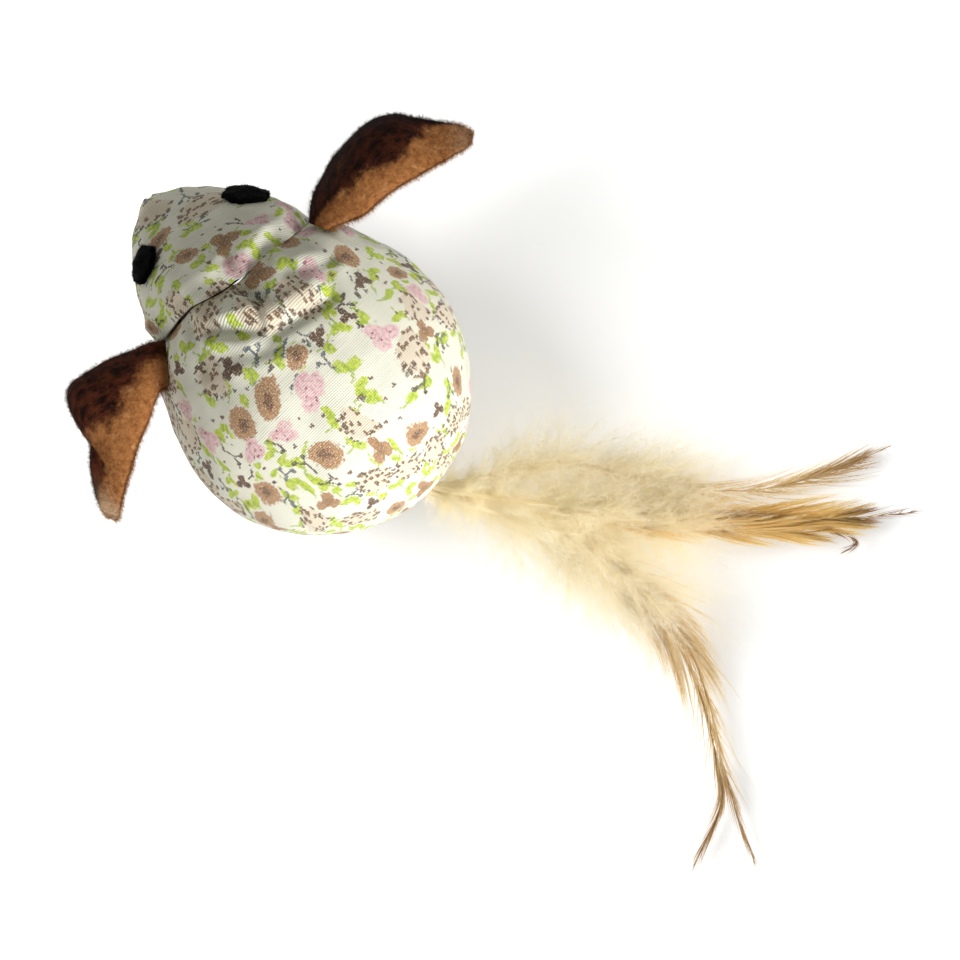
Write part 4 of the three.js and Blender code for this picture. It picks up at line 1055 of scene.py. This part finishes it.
def ear(name, table, reach, outwards, roots, body, blur, tip_light, streaks, seed):
    """A folded felt ear.

    reach is its length in millimetres, roots the places behind the neck of its front and rear edge, blur how
    softly the painted shade on its front face ends, and tip_light and streaks how much pale tip and how many
    streaks it has.
    """
    table = np.array(table)
    front, rear = (ear_root(*root) for root in roots)
    root = (front + rear) / 2
    free = table[1:, :6].reshape(-1, 2, 3) * vec(outwards, 1, 1) * reach + root
    fronts, rears = curve([front, *free[:, 0]], 7), curve([rear, *free[:, 1]], 7)
    rows, columns = len(fronts), EAR_COLUMNS
    table_rows = np.linspace(0, len(table) - 1, rows)
    arch, painted_shade_reach = (np.interp(table_rows, range(len(table)), table[:, column]) for column in (6, 7))
    # the cut tip is round
    middles = (fronts + rears) / 2
    long = lengths(middles)
    narrow = np.sqrt(1 - np.clip((long - long[-1] + EAR_TIP) / EAR_TIP, 0, 0.95) ** 2)[:, None]
    fronts, rears = mix(middles, fronts, narrow), mix(middles, rears, narrow)
    across = np.linspace(0, 1, columns)[None, :]
    down = np.linspace(0, 1, rows)[:, None]
    middle = mix(fronts[:, None], rears[:, None], across[..., None])
    middle = middle + UP * (reach * arch[:, None] * (1 - (2 * across - 1) ** 2))[..., None]
    middle = mix(middle, pulled(middle), 0.4 * (1 - smooth(down, 0, 0.3))[..., None])
    normal = facing(normals_of(middle), UP)
    middle = middle + normal * (0.35 * waves(middle, 11, 31) * smooth(down, 0.05, 0.3))[..., None]
    rim = np.minimum(np.minimum(across, 1 - across) * 8, (1 - down) * 9)
    half = FELT / 2 * np.sqrt(np.clip(1 - (1 - np.clip(rim, 0, 1)) ** 2, 0.12, 1))
    skins = np.stack([middle + normal * half[..., None], middle - normal * half[..., None]])
    index = np.arange(rows * columns).reshape(rows, columns)
    border = np.concatenate([index[0], index[1:, -1], index[-1, -2::-1], index[-2:0:-1, 0]])
    after = np.roll(border, -1)
    walls = np.stack([border, border + index.size, after + index.size, after], -1)
    faces = grid_faces(rows, columns)
    faces = np.concatenate([faces[:, ::-1], faces + index.size, walls])
    # tone holds the painted shade of the front face, the pale tip and the streaks, and run the place along and
    # across the felt
    tone, run = np.zeros((2, 2, rows, columns, 3))
    split = painted_shade_reach[:, None] + 0.05 * waves(middle, 4, 32)
    tone[..., 0] = 1 - smooth(across, split - blur, split + blur)
    tone[..., 1] = smooth(down, 0.8, 1.0) * tip_light * (1 - 0.7 * tone[0, ..., 0])
    tone[..., 2] = streaks * (1 if name == "ear_left" else smooth(across, 0.04, 0.24))
    # the underside of the ear is painted three quarters into the same shade
    tone[1, :, 1:-1, 0] = 0.75
    run[..., 0] = long[:, None]
    run[..., 1] = across * norm(fronts - rears)[:, None]
    run[1, ..., 2] = 3.0
    maps = {"felt": skins, "tone": tone, "run": run}
    obj = piece(name + "_felt", name, "brown_felt", skins, faces, body, maps)

    # loose fibres on both faces and thicker on the cut edges
    rng = np.random.default_rng(seed)
    strands = EAR_STRANDS
    r = rng.uniform(0.3, rows - 1.01, strands)
    c = rng.uniform(0, columns - 1.01, strands)
    on_rim = rng.random(strands) < 0.38
    first_edge = rng.random(strands) < 0.5
    edges = rng.uniform(0, 1.2, strands), rng.uniform(columns - 2.3, columns - 1.01, strands)
    c = np.where(on_rim, np.where(first_edge, *edges), c)
    on_tip = rng.random(strands) < 0.05
    r = np.where(on_tip, rng.uniform(rows - 3, rows - 1.01, strands), r)
    layer = np.where(rng.random(strands) < 0.62, 0, 1)
    i, j = r.astype(int), c.astype(int)
    here = skins[layer, i, j]
    surface = here + (skins[layer, i + 1, j] - here) * (r - i)[:, None]
    surface = surface + (skins[layer, i, j + 1] - here) * (c - j)[:, None]
    out = normal[i, j] * (1 - 2 * layer)[:, None]
    edge_way = unit(middle[i, np.minimum(j + 1, columns - 1)] - middle[i, np.maximum(j - 1, 0)])
    edge_way = edge_way * np.sign(c - columns / 2)[:, None]
    way = out * rng.uniform(0.15, 0.6, (strands, 1)) + rng.normal(size=(strands, 3)) * 0.75
    way = unit(way + edge_way * (on_rim * 1.2)[:, None])
    curl = rng.normal(size=(strands, 3)) * 0.5
    t = np.linspace(0, 1, 4)[None, :, None]
    length = rng.uniform(0.35, 0.95, strands) * np.where(on_rim, 1.5, 0.85)
    paths = surface[:, None] + (way[:, None] * t + curl[:, None] * t * t * 0.5) * length[:, None, None]
    face = np.where(on_rim, 0, layer)
    tone, run = (np.repeat(values[face, i, j][:, None], 4, 1) for values in (tone, run))
    maps = {"felt": paths, "tone": tone, "run": run}
    widths = rng.uniform(*NAP_WIDTHS, strands)
    nap = ribbons(name + "_nap", name, "brown_felt", paths, widths, body, seed=43, maps=maps)

    down_steps, across_steps = np.diff(middle, axis=0), np.diff(middle, axis=1)
    length = float(norm(down_steps[:, columns // 2]).sum()) * MM


ear("ear_left", LEFT_EAR, 28.6, 1, ((0.6, 38), (7.2, 34)), "left_ear", 0.24, 1.0, 0.85, 41)
ear("ear_right", RIGHT_EAR, 32.6, -1, ((0.6, 150), (3.4, 146)), "right_ear", 0.16, 0.4, 0.5, 42)

# Felt eyes

EYE_SIDES, EYE_STRANDS = 48, 1500
# the side of the felt disc from its underside up: share of its radius, and height over the cover
EYE_PROFILE = [(0.5, 0.35), (0.93, 0.32), (1.0, 0.55), (1.0, 1.2), (0.94, 1.5), (0.5, 1.62)]
EYE_BOTTOM, EYE_TOP = 0.35, 1.66


def eye(name, forward, around, radius, seed):
    around = math.radians(around)
    step = 1e-3
    origin = snout_point(forward, around)
    ahead = (snout_point(forward + step, around) - origin) / step
    turn = (snout_point(forward, around + step) - origin) / step
    normal = facing(unit(np.cross(turn, ahead)), origin - snout_middle(forward))
    across = unit(np.cross(normal, ahead))
    rng = np.random.default_rng(seed)
    angle = turns(EYE_SIDES)
    corners = np.sort(rng.uniform(0, TURN, 7))
    cut = radius * (1 - 0.11 * np.abs(np.sin(3 * angle + corners[0])))
    cut = cut * (1 + 0.03 * rng.normal(size=EYE_SIDES))
    rings = []
    for share, rise in EYE_PROFILE:
        turn_step = cut * share * np.sin(angle) / (turn @ across)
        slope = turn_step * (turn @ ahead) / np.linalg.norm(ahead)
        forward_step = (cut * share * np.cos(angle) - slope) / np.linalg.norm(ahead)
        base = pulled(snout_point(np.clip(forward + forward_step, 0, 0.97), around + turn_step))
        rings.append(base + normal * (rise + 0.1 * waves(base, 2.5, seed)[:, None]))
    origin = pulled(origin)
    low, high = origin + normal * EYE_BOTTOM, origin + normal * EYE_TOP
    grid = np.stack(rings)
    places = np.concatenate([grid.reshape(-1, 3), [low, high]])
    faces = grid_faces(len(rings), EYE_SIDES, around=True)
    triangles = np.concatenate([faces[:, [0, 1, 2]], faces[:, [0, 2, 3]], cap_faces(len(rings), EYE_SIDES)])
    piece(name + "_felt", name, "black_felt", places, triangles, maps={"felt": places})
    strands = EYE_STRANDS
    rim = rng.random(strands) < 0.55
    row = np.where(rim, rng.integers(2, 5, strands), rng.integers(3, len(rings), strands))
    surface = grid[row, rng.integers(0, EYE_SIDES, strands)]
    inner = rng.uniform(0, 1, (strands, 1)) ** 0.5
    surface = np.where(rim[:, None], surface, mix(high, surface, inner))
    way = unit(surface - origin) * np.where(rim, 1.0, 0.2)[:, None]
    way = way + normal * 0.4 + rng.normal(size=(strands, 3)) * 0.6
    t = np.linspace(0, 1, 3)[None, :, None]
    paths = surface[:, None] + unit(way)[:, None] * t * rng.uniform(0.25, 0.6, (strands, 1, 1))
    widths = rng.uniform(*NAP_WIDTHS, strands)
    ribbons(name + "_nap", name, "black_felt", paths, widths, seed=seed, maps={"felt": paths})


eye("eye_left", 0.59, 55, 4.35, 51)
eye("eye_right", 0.495, 146, 5.05, 52)

# Feathers

TAIL_REACH = 100
BUTT = 2.8  # how far a quill goes into the ball from the pivot
TUFT, BARBULES = 5, 190  # barbs to a tuft of down, and barbules to a barb
DOWN_START, DOWN_END = 2, 57.5
DOWN_WIDTHS, BARBULE_WIDTHS, BARBULE_LENGTHS = (0.05, 0.09), (0.016, 0.028), (0.9, 2.6)
DOWN_POINTS, VANE_POINTS = 10, 8
QUILL_TAPER = 12, 46  # where a quill starts to get thinner, and where it is a thin shaft
BALL_CLEARANCE = 31.2


def clear_of_ball(paths):
    """Pushes places that would lie in the ball out of it."""
    ray = paths - MIDDLE
    return paths + unit(ray) * np.maximum(BALL_CLEARANCE - norm(ray), 0)[..., None]


def feather(name, slot, quill_angle, path, down, vanes, seed):
    """A quill with loose down near its root, then long barbs in pointed locks on both sides towards its tip.

    down is the number of its barbs and their length. Each row of vanes is the number of locks on each side,
    barbs to a lock, their length, the slant in degrees on either side, the width of a barb, the looseness of
    a lock, how much shorter the barbs are towards the tip, where the row starts and how far before the tip
    it ends.
    """
    rng = np.random.default_rng(seed)
    angle = math.radians(quill_angle)
    ring = QUILL_CIRCLE * math.cos(angle), QUILL_CIRCLE * math.sin(angle)
    free = np.array(path) * TAIL_REACH + vec(PIVOT[0], PIVOT[1], 0)
    line = resampled(curve([*(tail_place(ahead, *ring) for ahead in (-BUTT, 0, 4)), *free], 16), 160)
    length = lengths(line)[-1]
    tip = length - BUTT
    run = np.linspace(0, length, len(line)) - BUTT
    ahead = unit(np.gradient(line, axis=0))
    side = unit(np.cross(ahead, UP))
    lift = np.cross(side, ahead)
    radius = np.interp(run, [-BUTT, *QUILL_TAPER, tip], [QUILL / 2, QUILL / 2, 0.2, 0.07])
    places, faces, _ = swept(line, radius, 8)
    table = stacked(np.clip(np.repeat(run / tip, 8) * 0.8 + 0.1, 0, 1), 0.42)
    piece(name + "_quill", name, slot, places, faces, "tail", table=table)

    def at(distance, values):
        return np.stack([np.interp(distance, run, values[:, axis]) for axis in range(3)], -1)

    # down: limp barbs that spread mostly to both sides, each with fine barbules
    barbs, down_length = down
    tufts = barbs // TUFT
    tuft = np.repeat(np.arange(tufts), TUFT)

    def in_tufts(values, spread):
        """Gives each barb the value of its tuft, a little off."""
        return values[tuft] + rng.normal(size=(barbs, *values.shape[1:])) * spread

    start = in_tufts(DOWN_START + (DOWN_END - DOWN_START) * rng.random(tufts) ** 0.72, 1.5)
    start = np.clip(start, DOWN_START, DOWN_END)
    hand = np.where(rng.random(tufts) < 0.5, 1.0, -1.0)[tuft]
    tilt = in_tufts(rng.normal(0.15, 0.85, tufts), 0.4)
    out = at(start, side) * (hand * np.cos(tilt))[:, None] + at(start, lift) * np.sin(tilt)[:, None]
    way = unit(out + at(start, ahead) * in_tufts(rng.uniform(0.15, 1.4, (tufts, 1)), 0.25))
    reach = down_length * in_tufts(rng.uniform(0.6, 1.05, tufts), 0.1)
    reach = reach * (0.34 + 0.66 * smooth(start, 2, 24)) * (1 - 0.16 * smooth(start, 44, 58))
    curl = in_tufts(rng.normal(size=(tufts, 3)) * 0.28, 0.2) + at(start, ahead) * 0.3 - UP * 0.12
    t = np.linspace(0, 1, DOWN_POINTS)[None, :, None]
    paths = at(start, line)[:, None] + (way[:, None] * t + curl[:, None] * t * t) * reach[:, None, None]
    paths = paths + 0.3 * np.stack([waves(paths + axis * 37, 5, seed + axis) for axis in range(3)], -1) * t
    paths = above_floor(clear_of_ball(paths), 0.15)
    shares = np.clip(start / tip, 0, 1)[:, None] * 0.62
    shades = stacked(shares, rng.random(barbs)[:, None] * 0.5 + 0.45)
    widths = rng.uniform(*DOWN_WIDTHS, barbs)
    table = np.broadcast_to(shades, (barbs, DOWN_POINTS, 2))
    ribbons(name + "_down", name, slot, paths, widths, "tail", table, seed)
    which = np.repeat(np.arange(barbs), BARBULES)
    hairs = len(which)
    spot = rng.beta(1.15, 1.35, hairs) * (DOWN_POINTS - 1.01)
    low = spot.astype(int)
    root = mix(paths[which, low], paths[which, low + 1], (spot - low)[:, None])
    along = unit(paths[which, low + 1] - paths[which, low])
    spread = unit(np.cross(along, rng.normal(size=(hairs, 3))))
    hair = unit(spread + along * rng.uniform(0.2, 1.1, (hairs, 1)))
    long = rng.uniform(*BARBULE_LENGTHS, (hairs, 1)) * (1.15 - 0.6 * spot[:, None] / (DOWN_POINTS - 1))
    half = unit(np.cross(hair, rng.normal(size=hair.shape))) * (rng.uniform(*BARBULE_WIDTHS, (hairs, 1)) / 2)
    places = above_floor(np.stack([root - half, root + half, root + hair * long], 1), 0.1)
    table = np.broadcast_to(shades[which], (hairs, 3, 2)).reshape(-1, 2)
    piece(name + "_barbules", name, slot, places, np.arange(hairs * 3).reshape(-1, 3), "tail", table=table)

    # vane: each lock gathers its barbs to one point
    rows = []
    for locks, each, barb_length, slants, width, loose, thin, row_start, row_end in vanes:
        for hand, slant in zip((1.0, -1.0), slants):
            lock = np.sort(rng.uniform(row_start, tip - row_end, locks))
            lean = np.radians(slant * rng.uniform(0.55, 1.25, locks))
            lean = lean * (1 - 0.5 * smooth(lock, tip - 24, tip))
            long = barb_length * rng.uniform(0.7, 1.12, locks) * (0.55 + 0.45 * smooth(lock, 34, 50))
            long = long * (1 - thin * smooth(lock, tip - 46, tip - 16))
            long = np.minimum(long, (tip - 0.55 * row_end - lock) * rng.uniform(0.8, 1.0, locks) + 2)
            goal = [lock + long * np.cos(lean), long * np.sin(lean), rng.normal(0, 0.5, locks)]
            goal = np.stack(goal, -1)
            for _ in range(each):
                base = lock + rng.uniform(-1.4, 1.4, locks)
                target = goal + rng.normal(size=goal.shape) * loose * vec(1.6, 0.45, 0.3)
                target = target - vec(1, 0, 0) * rng.uniform(0, 3, (locks, 1))
                pick = (0.2 if each > 3 else 0.0) + 0.6 * rng.random(locks)
                broad = rng.uniform(0.6, 1.2, locks) * width
                rows.append((base, target, np.full(locks, hand), pick, broad))
    base, goal, hand, pick, widths = (np.concatenate(values) for values in zip(*rows))
    base = np.clip(base, 26, tip - 0.3)
    t = np.linspace(0, 1, VANE_POINTS)[None, :]
    runs = base[:, None] + (goal[:, :1] - base[:, None]) * t
    offs = hand[:, None] * goal[:, 1:2] * t**0.82
    rises = goal[:, 2:3] * t + 0.2 * np.sin(t * np.pi) * rng.normal(size=(len(base), 1))
    held = np.minimum(runs, tip)
    paths = at(held, line) + at(held, ahead) * np.maximum(runs - tip, 0)[..., None]
    paths = above_floor(paths + at(runs, side) * offs[..., None] + at(runs, lift) * rises[..., None], 0.12)
    shares = np.clip(base / tip, 0, 1)[:, None] + 0.14 * t * smooth(base, 44, tip)[:, None]
    table = stacked(np.clip(shares, 0, 1), pick[:, None])
    flat = at(base, lift)[:, None] + rng.normal(size=(len(base), 1, 3)) * 0.25
    ribbons(name + "_vane", name, slot, paths, widths, "tail", table, seed + 2, side=flat)


feather("feather_1", "pale_feather", 180, [
    (-0.234, 0.174, 0.095), (-0.309, 0.282, 0.075), (-0.382, 0.398, 0.052), (-0.497, 0.516, 0.04),
    (-0.621, 0.589, 0.038), (-0.754, 0.644, 0.032),
], (760, 16), [
    (46, 6, 16, (11, 8), 0.1, 0.8, 0.1, 28, 6), (24, 1, 26, (20, 8), 0.22, 0.3, 0, 44, 6),
    (8, 3, 9, (5, 5), 0.12, 0.4, 0, 74, 1),
], 61)
feather("feather_2", "golden_feather", 252, [
    (-0.17, 0.234, 0.07), (-0.244, 0.337, 0.06), (-0.341, 0.449, 0.05), (-0.411, 0.521, 0.046),
    (-0.509, 0.616, 0.044), (-0.604, 0.706, 0.04), (-0.691, 0.778, 0.032),
], (620, 18), [
    (70, 12, 21, (9, 11), 0.18, 0.4, 0.1, 28, 16), (14, 1, 18, (4, 15), 0.2, 0.4, 0, 52, 14),
    (16, 1, 10, (9, 14), 0.2, 0.4, 0, 80, 1),
], 62)
feather("feather_3", "golden_feather", 108, [
    (-0.164, 0.235, 0.16), (-0.242, 0.364, 0.12), (-0.347, 0.477, 0.08), (-0.409, 0.548, 0.072),
    (-0.488, 0.633, 0.062), (-0.548, 0.7, 0.056), (-0.556, 0.735, 0.054), (-0.518, 0.728, 0.05),
], (520, 17), [
    (52, 11, 18, (10, 8), 0.18, 0.4, 0.1, 28, 17), (14, 4, 6, (12, 12), 0.17, 0.5, 0, 76, 2),
], 63)
feather("feather_4", "pale_feather", 324, [
    (-0.092, 0.268, 0.07), (-0.128, 0.391, 0.06), (-0.148, 0.51, 0.05), (-0.136, 0.638, 0.046),
    (-0.089, 0.751, 0.042), (-0.025, 0.854, 0.038), (0.028, 0.92, 0.036), (0.164, 0.976, 0.03),
], (620, 19), [
    (44, 11, 22, (11, 12), 0.14, 0.5, 0, 28, 53), (20, 1, 22, (12, 27), 0.22, 0.3, 0, 32, 50),
    (12, 1, 19, (14, 15), 0.2, 0.3, 0, 62, 24), (18, 5, 10, (5, 5), 0.13, 0.4, 0, 60, 18),
    (12, 5, 12, (5, 5), 0.14, 0.5, 0, 88, 1),
], 64)
feather("feather_5", "pale_feather", 36, [
    (-0.131, 0.283, 0.15), (-0.165, 0.404, 0.12), (-0.17, 0.52, 0.09), (-0.151, 0.638, 0.076),
    (-0.098, 0.758, 0.06), (-0.033, 0.861, 0.046), (0.02, 0.958, 0.038), (0.07, 1.064, 0.03),
], (620, 18), [
    (44, 10, 22, (9, 11), 0.14, 0.5, 0, 28, 62), (16, 1, 22, (8, 22), 0.22, 0.3, 0, 40, 50),
    (10, 1, 19, (8, 14), 0.2, 0.3, 0, 66, 20), (18, 5, 10, (4, 5), 0.13, 0.4, 0, 60, 18),
    (12, 4, 12, (4, 4), 0.12, 0.4, 0, 92, 1),
], 65)

# Floor, light and world

FLOOR_HALF = 3
MOUSE_MIDDLE, FLOOR_MIDDLE = (0, 0.03, 0.02), (0, 0.03, 0.0)
floor_mesh = bpy.data.meshes.new("floor")
corners = [(x * FLOOR_HALF, y * FLOOR_HALF, 0) for x, y in ((-1, -1), (1, -1), (1, 1), (-1, 1))]
floor_mesh.from_pydata(corners, [], [(0, 1, 2, 3)])
floor = linked("floor", floor_mesh)
paper = Graph("floor")
paper.tree.nodes.remove(paper.shader)
matt = paper.value("BsdfDiffuse", (0.8, 0.8, 0.8, 1))
bright = paper.value("BsdfDiffuse", (0.86, 0.86, 0.86, 1))
glow = paper.value("Emission", None, 0.45)
rays = paper.node("LightPath").outputs
seen = Value(paper, rays["Is Camera Ray"])
for kind in ("Glossy", "Transmission"):
    seen = paper.maths("MAXIMUM", seen, Value(paper, rays[f"Is {kind} Ray"]))
surface = paper.value("MixShader", seen, matt, paper.value("AddShader", bright, glow))
paper.put(paper.tree.nodes["Material Output"].inputs["Surface"], surface)
floor_mesh.materials.append(paper.material)


def lamp(name, place, target, size, power, on_floor):
    """A soft lamp that lights either the floor alone or everything but the floor."""
    data = bpy.data.lights.new(name, "AREA")
    data.shape = "DISK"
    data.size = size
    data.energy = power
    obj = linked(name, data)
    obj.location = place
    obj.rotation_euler = (Vector(target) - Vector(place)).to_track_quat("-Z", "Y").to_euler()
    lit = bpy.data.collections.new(name + "_lights")
    lit.objects.link(floor)
    lit.collection_objects[0].light_linking.link_state = "INCLUDE" if on_floor else "EXCLUDE"
    obj.light_linking.receiver_collection = lit


lamp("key", (-0.22, 0.84, 0.56), MOUSE_MIDDLE, 0.34, 13.9, False)
lamp("fill", (0.9, 0.25, 0.38), MOUSE_MIDDLE, 0.5, 2.6, False)
lamp("floor_lamp", (0.37, -0.51, 0.66), FLOOR_MIDDLE, 0.54, 8.0, True)
lamp("floor_side_lamp", (-0.6, 0.16, 0.76), FLOOR_MIDDLE, 0.5, 0.4, True)

world = bpy.data.worlds.new("world")
bpy.context.scene.world = world
world.use_nodes = True
background = world.node_tree.nodes["Background"]
background.inputs["Color"].default_value = (1, 1, 0.94, 1)
background.inputs["Strength"].default_value = 0.25
bpy.context.scene.view_settings.view_transform = "Standard"
